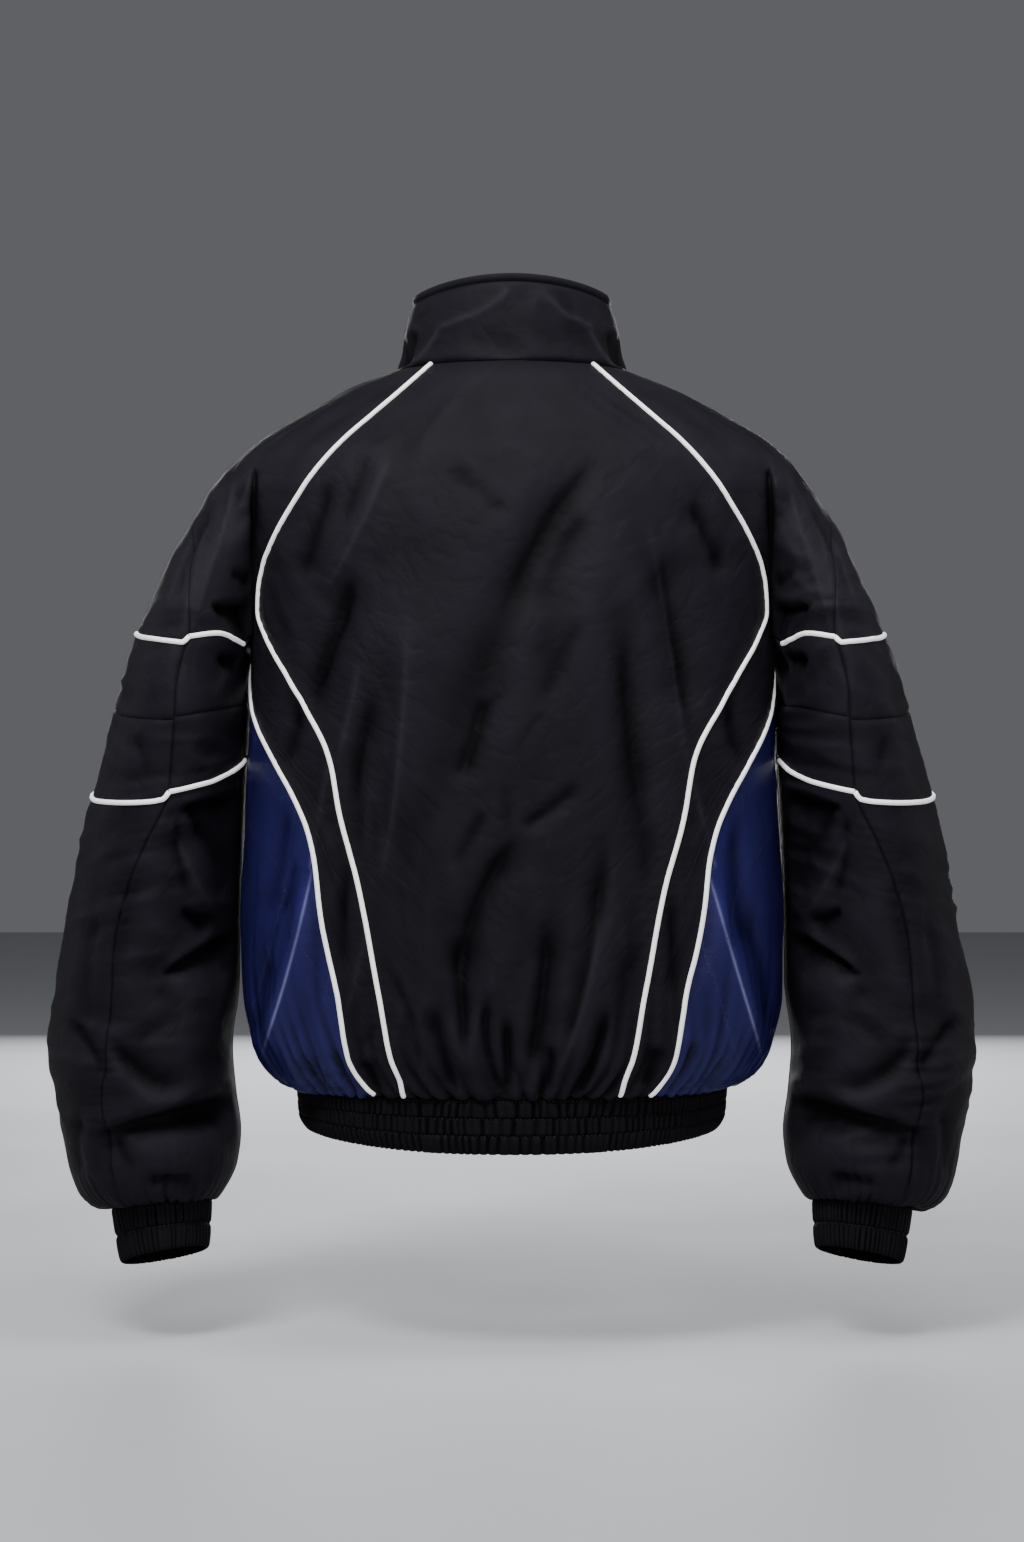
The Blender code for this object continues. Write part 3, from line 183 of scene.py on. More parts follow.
# How far the three seams round a sleeve lie from their plain rings, down the sleeve: the upper
# piping, the dark seam and the lower piping. The outer pieces end lower at the back seam.
INNER_SEAMS = table(
    "=station upper first second",
    (0.1, 6, -4.5, -10), (0.25, 6, -4.5, -5.5), (0.42, 5.5, -4.5, -1.5), (0.58, 2.2, -3, 0.6),
    (0.76, -2, -1, 0.6), (1, 1, 2, 0),
)
OUTER_SEAMS = table(
    "=station upper first second",
    (1, 5.7, 3.6, 5.6), (1.5, 1, 0.6, -1.2), (2, -5, -3, -4.8), (3, -2, 0, -1), (3.58, 0, 0, 0),
)

# The stand collar, up from the neck seam.
COLLAR = table(
    "up z_side z_back z_front width back front",
    (0, 0, 0, -35, 94, 75, 75),
    (16, 15, 16.5, -19, 89.2, 72.2, 71.5),
    (36, 32, 37, 1, 87.2, 70, 68),
    (54, 46.5, 55.5, 18, 83.2, 67.2, 64.8),
    (60, 51.5, 62, 24, 81.6, 66, 63.6),
    (68.5, 59.5, 70.5, 32, 80, 64.8, 62.2),
)
COLLAR_ROUNDNESS = 2.0
COLLAR_WALL = 0.0020
COLLAR_EDGE = 0.0622  # up, where the turned edge is sewn on
COLLAR_TOP = 0.0685

# Folds, from (x0, z0) to (x1, z1) as seen from their own side; bend moves the middle sideways.
# w0 and w1 are the half widths at the two ends, troughs have a negative height, lean makes the
# one side steeper, and sharp is 2 for a soft fold and 1 for a crease.
FOLD_COLUMNS = "x0 z0 x1 z1 bend w0 w1 height =lean =sharp"
BODY_FOLDS = {}
BODY_FOLDS[BACK] = table(
    FOLD_COLUMNS,
    # the largest, as in the solid
    (53, -95, -49, -342, -12, 20, 20, -6, 0, 2),
    (58, -130, 26, -262, -6, 18, 18, -3.5, 0, 2),
    (-100, -80, -138, -180, 4, 24, 24, 4.5, 0, 2),
    (-126, -180, -165, -285, 4, 18, 18, -4.5, 0, 2),
    (114, -165, 137, -270, 3, 18, 18, -4, 0, 2),
    (83, -190, 98, -357, 6, 18, 18, -4, 0, 2),
    (-80, -214, -88, -360, 5, 22, 22, 4, 0, 2),
    (-5, -390, -38, -530, -18, 20, 20, -5, 0, 2),
    (25, -450, 13, -560, 3, 18, 18, -4.5, 0, 2),
    (64, -435, 44, -560, 4, 20, 20, 4.5, 0, 2),
    # upper back
    (57, -93, -2, -200, -6, 5, 11, -3.2, 0.3, 1.5),
    (54, -131, 21, -200, -3, 4, 8, -2.2, 0.2, 1.6),
    (52, -214, 24, -272, 0, 7, 7, -1.8, 0, 2),
    (142, -120, 166, -170, 1, 6, 9, -3.5, 0, 1.8),
    (114, -166, 139, -294, 3, 5, 8, -3.5, -0.3, 1.4),
    (109, -150, 133, -306, 1, 4, 5, 1.4, 0.2, 1.3),
    (87, -236, 110, -412, -2, 6, 10, -3.4, -0.2, 1.6),
    (-44, -94, -6, -128, 0, 6, 6, -1.8, 0, 1.8),
    (-98, -90, -142, -180, 3, 4, 6, 2.6, -0.2, 1.2),
    (-112, -82, -133, -134, 2, 8, 9, -2.6, 0, 2),
    (-144, -104, -166, -174, 2, 6, 9, -3.2, 0, 1.8),
    (-125, -182, -158, -266, 1, 4, 7, -4, -0.2, 1.3),
    (-120, -250, -135, -318, 1, 3, 4, 1.4, 0, 1.2),
    (-110, -276, -128, -402, -5, 6, 9, -4, 0.2, 1.6),
    (-81, -220, -99, -402, 4, 4, 5, 1.3, 0, 1.3),
    # middle
    (-23, -276, -40, -330, 1, 5, 7, -3.4, 0.2, 1.5),
    (-8, -268, -26, -280, 1, 2, 3, -1.2, 0, 1.2),
    (23, -284, 4, -314, -2, 2, 3, -1.1, 0, 1.2),
    (49, -340, 10, -368, 1, 6, 4, -2.6, 0.2, 1.7),
    (-6, -340, -5, -378, 1, 5, 5, -1.3, 0, 2),
    (-23, -360, -43, -398, 1, 4, 5, -2, 0, 1.7),
    # lower back
    (-2, -384, -41, -480, -6, 6, 9, -4.6, 0.3, 1.6),
    (-43, -462, -38, -540, 1, 8, 3, -4.6, 0.2, 1.6),
    (72, -394, 40, -550, 3, 6, 8, -4.4, -0.3, 1.5),
    (66, -450, 37, -556, 4, 4, 4, 2.4, 0.3, 1.2),
    (27, -450, 11, -566, 3, 6, 5, -4, 0.2, 1.6),
    (94, -466, 79, -544, 1, 6, 7, -3, 0, 1.7),
    (-92, -484, -73, -560, 6, 3, 5, -2.2, -0.4, 1.4),
    # gathers above the hem
    (-61, -512, -44, -576, -2, 8, 3, -5.4, 0, 1.6),
    (-20, -504, -6, -580, -6, 4, 4, -5.8, 0.3, 1.5),
    (-4, -520, -4, -580, 1, 3, 4, -5, 0, 1.5),
    (30, -542, 23, -580, 3, 3, 4, -5.2, 0, 1.5),
    (74, -516, 49, -584, 4, 4, 5, -6, -0.5, 1.4),
    (113, -542, 103, -572, 1, 7, 5, -5.5, 0, 1.8),
    (-116, -553, -104, -580, 1, 7, 6, -5, 0, 1.8),
    (-103, -522, -117, -541, 0, 3, 4, -1.8, 0, 1.5),
    # side strips
    (-128, -402, -132, -480, -3, 6, 7, -4.6, 0, 1.7),
    (-112, -450, -127, -512, 0, 3, 3, 1.2, 0, 1.2),
    (122, -424, 128, -500, 1, 5, 6, -4, 0, 1.6),
    (133, -306, 158, -400, 0, 3, 3, 1.2, 0, 1.2),
    (-142, -318, -157, -400, 0, 3, 3, 1.3, 0, 1.2),
    (-166, -262, -180, -320, 2, 5, 7, -3.5, 0, 1.6),
    (168, -255, 182, -320, -2, 5, 7, -3.5, 0, 1.6),
    # navy side panels
    (-157, -412, -196, -545, 3, 12, 13, 5.8, 0.3, 1.2),
    (155, -414, 197, -548, -1, 12, 13, 5.8, -0.3, 1.2),
    (-178, -440, -190, -500, 1, 3, 3, 1.2, 0, 1.6),
    (176, -452, 184, -520, 1, 3, 3, 1.2, 0, 1.6),
    (-180, -360, -196, -440, 2, 7, 9, -3.2, 0, 1.8),
    (177, -370, 186, -470, -3, 6, 9, -3.2, 0, 1.8),
    (-172, -398, -181, -438, 1, 4, 5, -2.2, 0.3, 1.5),
    (-192, -476, -205, -540, 1, 6, 7, -3, 0, 1.7),
    (190, -440, 207, -530, 1, 6, 7, -3, 0, 1.7),
    (-160, -500, -152, -566, -2, 8, 9, -2.2, 0, 2),
    (150, -500, 146, -566, 2, 8, 9, -2.2, 0, 2),
    (-140, -548, -124, -582, -1, 5, 6, -5.2, 0.3, 1.6),
    (-166, -556, -142, -586, -2, 4, 6, -4, 0.3, 1.5),
    (146, -542, 124, -582, 2, 5, 6, -5.2, -0.3, 1.6),
    (170, -556, 146, -586, 2, 4, 6, -4, -0.3, 1.5),
)
BODY_FOLDS[FRONT] = table(
    FOLD_COLUMNS,
    # the largest, as in the solid
    (-85, -110, -40, -270, 8, 20, 20, -5, 0, 2),
    (100, -100, 130, -250, 4, 24, 24, 4.5, 0, 2),
    (-110, -200, -85, -360, 5, 20, 20, -4.5, 0, 2),
    (80, -420, 60, -560, 6, 20, 20, 5, 0, 2),
    (-70, -430, -50, -560, 6, 20, 20, 4.5, 0, 2),
    (-60, -130, -30, -220, 3, 5, 8, -2.8, 0.2, 1.6),
    (55, -130, 24, -230, -4, 5, 9, -3, -0.2, 1.6),
    (112, -150, 150, -230, -2, 5, 8, -3.6, 0, 1.6),
    (-118, -140, -156, -230, 2, 5, 8, -3.6, 0, 1.6),
    (-98, -260, -112, -400, 3, 6, 9, -3.4, 0.2, 1.6),
    (94, -240, 110, -410, -3, 6, 9, -3.6, -0.2, 1.6),
    (60, -300, 40, -420, 3, 6, 8, -2.6, 0, 1.7),
    (-58, -300, -44, -400, -3, 5, 7, -2.2, 0, 1.7),
    (130, -350, 152, -470, 2, 6, 9, -3.6, 0, 1.6),
    (-134, -340, -150, -460, -2, 6, 9, -3.6, 0, 1.6),
    (32, -450, 26, -560, 2, 5, 6, -4, 0, 1.6),
    (-30, -440, -24, -556, -2, 5, 6, -3.8, 0, 1.6),
    (90, -480, 70, -566, 2, 6, 6, -5.2, 0.2, 1.6),
    (-94, -470, -76, -566, -2, 6, 6, -5, -0.2, 1.6),
    (128, -510, 108, -572, 3, 5, 6, -6, -0.3, 1.5),
    (-130, -516, -108, -572, -3, 5, 6, -6, 0.3, 1.5),
    (52, -526, 44, -570, 1, 4, 5, -5.2, 0, 1.6),
    (-54, -530, -48, -570, -1, 4, 5, -5, 0, 1.6),
)

# Folds of a sleeve; x is the distance from the middle plane.
SLEEVE_FOLDS = {}
SLEEVE_FOLDS[BACK] = table(
    FOLD_COLUMNS,
    # the largest, as in the solid
    (226, -250, 262, -236, 0, 14, 14, -3, 0, 2),
    (222, -440, 290, -500, 6, 18, 18, -4.5, 0, 2),
    (250, -360, 270, -440, 4, 16, 16, -3, 0, 2),
    (245, -530, 285, -610, 4, 20, 20, 5, 0, 2),
    (225, -605, 335, -625, 6, 16, 16, -6, 0, 2),
    (230, -237, 204, -238, 0, 3, 12, -7.5, 0.6, 1.5),
    (256, -355, 212, -350, 0, 4, 18, -8, 0.6, 1.5),
    (247, -366, 216, -420, 0, 6, 18, -5, 0, 1.8),
    (263, -368, 254, -426, 2, 3, 4, -3.2, 0, 1.4),
    (258, -436, 237, -447, 1, 3, 6, -4.8, 0.5, 1.4),
    (271, -486, 215, -458, -1, 3, 14, -8.5, 0.65, 1.5),
    (278, -499, 263, -514, 0, 7, 9, -2.4, 0, 2),
    (315, -545, 262, -580, 6, 7, 10, -6, -0.2, 1.8),
    (352, -526, 322, -566, -1, 5, 7, -4.2, 0, 1.7),
    (319, -611, 214, -594, -4, 4, 15, -10.5, 0.6, 1.5),
    (290, -652, 254, -651, 0, 3, 6, -4.5, 0.5, 1.6),
    (318, -620, 301, -642, 1, 5, 6, -3, 0, 1.7),
    (344, -600, 350, -650, 2, 4, 6, -3, 0, 1.6),
    (340, -260, 300, -268, 1, 4, 6, -1.6, 0, 1.8),
    (296, -300, 288, -330, 0, 4, 5, -1.8, 0, 1.8),
    (233, -456, 270, -480, 1, 3, 4, 1.6, 0, 1.2),
    (260, -586, 318, -608, -2, 3, 4, 1.8, 0, 1.2),
    (255, -352, 210, -332, 0, 3, 4, 1.4, 0, 1.2),
    (268, -372, 238, -440, 1, 3, 3, 1.2, 0, 1.2),
    (300, -420, 318, -500, 2, 6, 7, -1.8, 0, 1.8),
    (330, -440, 340, -520, 2, 6, 7, -2, 0, 1.8),
    (262, -520, 300, -545, 2, 6, 7, -2.2, 0, 1.7),
)
SLEEVE_FOLDS[FRONT] = table(
    FOLD_COLUMNS,
    # the largest, as in the solid
    (226, -260, 290, -300, 4, 18, 18, -5.5, 0, 2),
    (230, -440, 300, -480, 6, 20, 20, -6.5, 0, 2),
    (240, -600, 340, -620, 6, 18, 18, -7.5, 0, 2),
    (262, -236, 210, -246, 0, 3, 12, -6, -0.2, 1.5),
    (300, -330, 222, -374, 2, 5, 18, -8, -0.3, 1.6),
    (320, -430, 226, -410, -3, 4, 14, -7.5, 0.3, 1.6),
    (330, -500, 240, -530, 4, 5, 14, -8, -0.2, 1.6),
    (344, -560, 300, -590, 2, 5, 8, -4.5, 0, 1.7),
    (350, -620, 224, -606, 0, 4, 16, -9.5, 0.2, 1.6),
)

# Folds of the sleeve cap: the pressed strip over the shoulder, and the dents beside it.
CAP_FOLDS = {}
CAP_FOLDS[BACK] = table(
    FOLD_COLUMNS,
    (222, -98, 251, -212, -2, 3, 3, 1.6, 0.3, 1.2),
    (245, -126, 259, -216, -1, 3, 3, 1.4, -0.3, 1.2),
    (232, -110, 250, -190, -1, 3, 4, 0.7, 0, 1.4),
    (242, -116, 266, -188, 3, 3, 5, -3.4, 0.2, 1.5),
    (256, -140, 272, -196, 1, 3, 4, 1.4, 0, 1.4),
    (234, -196, 203, -200, 0, 3, 13, -8, 0.6, 1.5),
    (222, -170, 208, -176, 0, 3, 6, -2.6, 0, 1.8),
)
CAP_FOLDS[FRONT] = table(
    FOLD_COLUMNS,
    (250, -130, 276, -206, 3, 4, 6, -3.4, 0.2, 1.6),
    (244, -190, 206, -202, 0, 3, 12, -6.2, 0.2, 1.5),
    (225, -120, 232, -170, 2, 4, 6, -2.4, 0, 1.8),
)

# Folds of the collar, as seen from the back or the front.
COLLAR_FOLDS = {}
COLLAR_FOLDS[BACK] = table(
    FOLD_COLUMNS,
    (-4, 57, -24, 40, 1, 4, 4, 1.4, 0.3, 1.1),
    (-22, 40, -60, 28, 0, 4, 3, 1.6, 0.3, 1),
    (-58, 28, -90, -6, 3, 3, 3, 2.2, 0.3, 1),
    (30, 52, 50, 34, -2, 4, 4, 1.4, -0.3, 1.1),
    (48, 36, 66, 30, 0, 3, 3, 1.6, -0.3, 1),
    (62, 28, 88, -4, -3, 3, 3, 2.2, -0.3, 1),
    (-34, 18, 12, 6, 1, 8, 10, -1.2, 0, 2),
    (40, 12, 10, 34, 2, 7, 8, -1, 0, 2),
    (-66, 46, -80, 36, 0, 3, 3, -1, 0, 1.6),
    (-81, 28, -90, 2, 0, 3, 6, -5, 0, 1.6),
    (81, 28, 90, 2, 0, 3, 6, -5, 0, 1.6),
)
COLLAR_FOLDS[FRONT] = table(
    FOLD_COLUMNS,
    (-30, 0, -66, 30, 3, 5, 6, 1.4, 0, 1.4),
    (34, -4, 70, 30, -3, 5, 6, 1.4, 0, 1.4),
    (-16, -20, -50, -10, 1, 6, 7, -1.2, 0, 2),
)


def ease(t):
    """0 to 1, softly at both ends."""
    t = np.clip(t, 0, 1)
    return t * t * (3 - 2 * t)


HOLLOW_WIDTH = 1.25  # how much wider the small troughs are than their rows say
CRISP = 1.35  # how much deeper the creases are than their rows say
BLUNT = 0.0013  # how far the cloth rounds a crease
FAR_OFF = 0.02  # from a ridge, where its painted highlight line no longer counts
HIGHLIGHT_SHARPNESS = 1.5  # a ridge that is sharper than this has a painted highlight line
FULL_HIGHLIGHT_HEIGHT = 0.0022  # the height of a ridge whose painted highlight line is full
RELIEFS = ((0.006, 0.0028), (0.022, 0.0048))  # the size of the hollows that are told for the painted shading, and how deep
LATTICE = 64  # across the noise, before it repeats


def beside(line, x, z):
    """Where places lie by a fold: the share of its length, how far to its side, and how much of
    the fold is there."""
    x0, z0, x1, z1, bend = line
    length = math.hypot(x1 - x0, z1 - z0)
    run = ((x1 - x0) / length, (z1 - z0) / length)
    t = ((x - x0) * run[0] + (z - z0) * run[1]) / length
    sideways = (z - z0) * run[0] - (x - x0) * run[1] - bend * 4 * t * (1 - t)
    return t, sideways, ease((t + 0.15) / 0.35) * ease((1.15 - t) / 0.35)


def fold_height(folds, face, x, z):
    """The sum of the ridges and troughs at places on a face, seen from that side."""
    total = np.zeros(np.shape(x))
    for side, rows in folds.items():
        for *line, w0, w1, height, lean, sharp in zip(*rows.values()):
            t, sideways, fade = beside(line, x, z)
            width = w0 + (w1 - w0) * np.clip(t, 0, 1)
            width = width * np.where(sideways > 0, 1 + lean, 1 - lean)
            width = width * (HOLLOW_WIDTH if height < 0 and sharp < 2 else 1)
            bump = fade * np.exp(-((np.hypot(sideways, BLUNT) / width) ** sharp))
            total += np.where(face == side, (CRISP if sharp < 2 else 1) * height * bump, 0)
    return total


def face_of(point):
    return np.where(point[..., 1] < 0, BACK, FRONT)


def ridge_highlight_mask(point):
    """The mask of the painted highlight lines: how far places are to the side of the nearest pressed
    ridge, and how strongly a highlight is painted along it.
    """
    face, x, z = face_of(point), point[..., 0], point[..., 2]
    gap, strength = np.full(face.shape, FAR_OFF), np.zeros(face.shape)
    nearest = np.full(face.shape, FAR_OFF)
    own = ((BODY_FOLDS, x), (SLEEVE_FOLDS, np.abs(x)), (CAP_FOLDS, np.abs(x)), (COLLAR_FOLDS, x))
    for folds, across in own:
        for side, rows in folds.items():
            for *line, _, _, height, _, sharp in zip(*rows.values()):
                if height < 0 or sharp >= HIGHLIGHT_SHARPNESS:
                    continue
                _, sideways, fade = beside(line, across, z)
                fade = fade * min(1, height / FULL_HIGHLIGHT_HEIGHT) * (face == side)
                away = np.abs(sideways) + FAR_OFF * (1 - np.minimum(fade * 4, 1))
                near = away < nearest
                gap = np.where(near, sideways, gap)
                strength = np.where(near, fade, strength)
                nearest = np.where(near, away, nearest)
    return gap, strength


def levelled(point, reach):
    """The grid of points, each the mean of those around it."""
    for axis in (0, 1):
        pitch = np.median(np.linalg.norm(np.diff(point, axis=axis), axis=-1))
        k = int(np.clip(round(reach / max(pitch, 1e-4)), 1, point.shape[axis] // 2))
        ends = [(k + 1, k) if a == axis else (0, 0) for a in range(3)]
        total = np.cumsum(np.pad(point, ends, mode="edge"), axis=axis)
        size = point.shape[axis]
        high = np.take(total, np.arange(size) + 2 * k + 1, axis=axis)
        point = (high - np.take(total, np.arange(size), axis=axis)) / (2 * k + 1)
    return point


def relief_of(point, normal):
    """From -1 in a hollow of the cloth to 1 on its folds: the mask by which the cloth's colour gets
    painted shade in the hollows and painted highlight on the folds.
    """
    proud = 0
    for reach, depth in RELIEFS:
        proud = proud + np.sum((point - levelled(point, reach)) * normal, axis=-1) / depth
    return np.clip(proud, -1, 1)


def wandering(u, v, seed):
    """Soft noise from -1 to 1, with about one bump a unit."""
    lattice = np.random.default_rng(seed).uniform(-1, 1, (LATTICE, LATTICE))
    i, j = np.floor(u).astype(int), np.floor(v).astype(int)
    s, t = ease(u - i), ease(v - j)

    def corner(a, b):
        return lattice[(i + a) % LATTICE, (j + b) % LATTICE]

    near = corner(0, 0) * (1 - s) + corner(1, 0) * s
    far = corner(0, 1) * (1 - s) + corner(1, 1) * s
    return near * (1 - t) + far * t


# ---------------------------------------------------------------- the garment's surface


def points(x, y, z):
    return np.stack(np.broadcast_arrays(x, y, z), axis=-1)


def unit(vectors):
    return vectors / np.maximum(np.linalg.norm(vectors, axis=-1, keepdims=True), 1e-12)


def signed_power(value, power):
    """A power of a value's size, with the value's sign."""
    return np.sign(value) * np.abs(value) ** power


def rounded_ring(turn, width, back, front, roundness, z_side, z_back, z_front):
    """Points of a ring whose sides are as full as roundness says (2 is an ellipse)."""
    s, c = np.sin(np.radians(turn)), np.cos(np.radians(turn))
    power = 2 / roundness
    end = np.where(c > 0, z_back, z_front)
    depth = np.where(c > 0, back, front)
    x, y = width * signed_power(s, power), -depth * signed_power(c, power)
    return points(x, y, z_side + (end - z_side) * c * c)


def body_at(along, turn):
    columns = ("width", "back", "front", "roundness", "z_side", "z_back", "z_front")
    return rounded_ring(turn, *(between(BODY, name, along) for name in columns))


def turn_of(along, x):
    """The turn, on the back, at which the body is x from the middle."""
    share = np.minimum(np.abs(x) / between(BODY, "width", along), 1.0)
    return np.degrees(np.arcsin(share ** (between(BODY, "roundness", along) / 2)))


def crease_turn(along):
    return turn_of(along, between(YOKE, "crease_x", along))


def chain(station, inner, outer, rear, fore, square):
    """The plan of a sleeve ring at stations from 0 to 4: four quarters of a rounded ring."""
    given = np.broadcast_arrays(station, inner, outer, rear, fore, square)
    station, inner, outer, rear, fore, square = given
    middle, half = (inner + outer) / 2, (rear + fore) / 2
    pairs = ((inner, half), (middle, rear), (outer, half), (middle, fore))
    corners = [np.stack(pair, axis=-1) for pair in pairs]
    k = np.clip(np.floor(station).astype(int), 0, 3)[..., None]
    t = station[..., None] - k
    start, end = np.choose(k, corners), np.choose((k + 1) % 4, corners)
    reach = (end - start) * square[..., None]
    first = (k % 2 == 0) == np.array([False, True])
    one, two = start + reach * first, end - reach * ~first
    return (1 - t) ** 3 * start + 3 * (1 - t) ** 2 * t * one + 3 * (1 - t) * t**2 * two + t**3 * end


CREASE_STATION = 0.42  # where a sleeve ring meets the body's crease, on its rear and its fore


def cap_at(along, station):
    """Points of the sleeve cap; station runs from the rear crease, 0.42, to the fore one, 3.58."""
    along, station = np.broadcast_arrays(np.asarray(along, float), np.asarray(station, float))
    crease = crease_turn(along)
    ridge, crease_x = between(YOKE, "ridge", along), between(YOKE, "crease_x", along)
    rear = station <= 2
    share = (np.where(rear, station, 4 - station) - CREASE_STATION) / (2 - CREASE_STATION)
    turn = crease + (90 - crease) * share
    columns = ("back", "front", "roundness", "z_side", "z_back", "z_front")
    shape = [between(BODY, name, along) for name in columns]
    root_turn = np.where(rear, crease, 180 - crease)
    root = body_at(along, root_turn)
    fade = ((1 - share) ** 2)[..., None]
    whole = rounded_ring(np.where(rear, turn, 180 - turn), ridge, *shape)
    whole = whole + (root - rounded_ring(root_turn, ridge, *shape)) * fade
    rear_y, fore_y = -between(YOKE, "rear", along), between(YOKE, "fore", along)
    edges = (crease_x + 0.0005, ridge, rear_y, fore_y, SLEEVE["square"][0])
    plan = chain(station, *edges)
    plan_root = chain(np.where(rear, CREASE_STATION, 4 - CREASE_STATION), *edges)
    plan = plan + (root[..., :2] - plan_root) * fade
    lobe = points(plan[..., 0], plan[..., 1], whole[..., 2])
    pinch = between(YOKE, "pinch", along)[..., None]
    return whole * (1 - pinch) + lobe * pinch


STATION_STEP = 0.01  # of a station, between the places that a direction is taken from
UNDERARM_GAP = 0.0010  # between the sleeve and the body under the arm
HUG = 0.050  # how far down the sleeve still takes its form from the armpit ring


def armpit_ring(station):
    """The sleeve's first ring: the cap's lower edge, closed along the body under the arm."""
    past = np.minimum(station, 4 - station) - CREASE_STATION
    aside = UNDERARM_GAP * (1 - ease(past / 0.35))
    upper = cap_at(ARMPIT, np.clip(station, CREASE_STATION, 4 - CREASE_STATION))
    crease = crease_turn(ARMPIT)
    beyond = np.where(station <= CREASE_STATION, station, station - 4) + CREASE_STATION
    turn = 180 - crease - (180 - 2 * crease) * beyond / (2 * CREASE_STATION)
    ring = np.where((past >= 0)[..., None], upper, body_at(ARMPIT, turn))
    ring[..., 0] += aside
    return ring


def sleeve_at(below, station):
    """Points of the sleeve under the armpit."""
    below, station = np.broadcast_arrays(np.asarray(below, float), np.asarray(station, float) % 4)
    names = ("inner", "outer", "rear", "fore", "square")
    inner, outer, rear, fore, square = (between(SLEEVE, name, below) for name in names)
    plan = chain(station, inner, outer, rear, fore, square)
    x, y = plan[..., 0], plan[..., 1]
    rise = between(SLEEVE, "lean", below) * (x - (inner + outer) / 2)
    rise = rise + between(SLEEVE, "tip", below) * (y - (rear + fore) / 2)
    first = chain(station, *(SLEEVE[name][0] for name in names))
    top = points(first[..., 0], first[..., 1], SLEEVE["z"][0])
    fade = ((1 - np.minimum(below / HUG, 1)) ** 2)[..., None]
    return points(x, y, between(SLEEVE, "z", below) + rise) + (armpit_ring(station) - top) * fade


def collar_at(up, turn):
    shape = [between(COLLAR, name, up) for name in ("width", "back", "front")]
    heights = [between(COLLAR, name, up) for name in ("z_side", "z_back", "z_front")]
    return rounded_ring(turn, *shape, COLLAR_ROUNDNESS, *heights)


def outward(place, u, v, limits, du=0.002, dv=0.4):
    """The outward directions of a surface, u down the garment and v round it, from steps of du
    and dv that stay within the limits of u."""
    u = np.clip(u, limits[0] + du, limits[1] - du)
    down = place(u + du, v) - place(u - du, v)
    return unit(np.cross(down, place(u, v + dv) - place(u, v - dv)))


def mirrored(vectors, side):
    """Vectors of the right side (side 1), turned over for the left (-1)."""
    return vectors * np.array((side, 1, 1)) if np.ndim(side) == 0 else vectors * points(side, 1, 1)


def facing(normal, low=0.10, high=0.55):
    """How squarely a surface faces forwards or backwards, from 0 to 1."""
    return ease((np.abs(normal[..., 1]) - low) / (high - low))


# ---------------------------------------------------------------- what the sewing does to it

SEAM_PITCH = 0.0085  # between two puckers beside a seam
METRES_A_DEGREE = 0.0028  # round the body
BODY_RADIUS, SEAM_RADIUS = 0.17, 0.16  # of the body's rings, for its folds and beside its seams
COLLAR_RADIUS = 0.08
STATION_ARC = 0.13  # metres round the sleeve to a station
CREASE_ARC = 0.11  # and beside the crease
HEM_GATHER = 0.0074  # depth of the folds above the hem band
CUFF_GATHER = 0.0042
FINE_WRINKLE = 0.0012  # height of the small uneven waves
CALM = 0.30  # the share of a fold that is left where it crosses a piped seam


def puckers(distance, run, seed, depth=0.0006, reach=0.010):
    """Short ripples across a seam: distance from it, and the way along it, in metres."""
    wave = np.sin(2 * math.pi * (run / SEAM_PITCH + 0.9 * wandering(run / 0.03, run * 0, seed)))
    strength = 0.55 + 0.45 * wandering(run / 0.05, run * 0 + 0.5, seed + 1)
    away = np.abs(distance)
    return depth * wave * strength * np.exp(-(away / reach)) * ease(away / 0.0035)


def from_crease(along, turn):
    """How far places on the body are from the crease between it and the sleeve."""
    crease = crease_turn(np.minimum(along, ARMPIT))
    return np.abs(turn - np.where(turn < 90, crease, 180 - crease)) * METRES_A_DEGREE


def wrinkles(u, v, seed):
    """Small uneven waves of slack cloth, longer along v."""
    bend = wandering(u / 0.09, v / 0.12, seed)
    broad = wandering(u / 0.034 + bend, v / 0.085, seed + 1)
    small = wandering(u / 0.015 + 1.5 * bend, v / 0.034, seed + 2)
    crisp = 1 - 2 * np.abs(wandering(u / 0.030 + 1.4 * bend, v / 0.066 + bend, seed + 3))
    sharp = 1 - 2 * np.abs(wandering(u / 0.017 + 2.0 * bend, v / 0.040 - bend, seed + 4))
    patch = np.clip(0.5 + 1.3 * wandering(u / 0.07, v / 0.10, seed + 5), 0, 1)
    return FINE_WRINKLE * (0.75 * broad + 0.18 * small + (0.80 * crisp + 0.50 * sharp) * patch)


def folded(count, up, length, seed):
    """Narrow folds that run up from a gathered seam, one for each whole count, and the round
    cloth between them; each has its own length and depth."""
    count = count + (
        0.55 * wandering(count / 4.3, up / 0.05, seed)
        + 0.22 * wandering(count / 1.7, up / 0.07, seed + 1)
    )
    which = np.floor(count + 0.5)
    own = np.random.default_rng(seed + 2).uniform(0, 1, (2, 256))[:, which.astype(int) % 256]
    width = 0.15 + 5.0 * up
    groove = np.exp(-((np.abs(count - which) / width) ** 1.4))
    reach = np.exp(-((up / (length * (0.45 + 0.9 * own[0]))) ** 1.5))
    return (0.30 - groove * (0.45 + 0.75 * own[1])) * reach


def hem_gathers(along, arc, seed):
    """Uneven gathers that run up from the hem band, arc metres round the body."""
    up = np.maximum(HEM_SEAM - along, 0)
    return HEM_GATHER * folded(arc / 0.0125, up, 0.078, seed) * ease(up / 0.008 + 0.35)


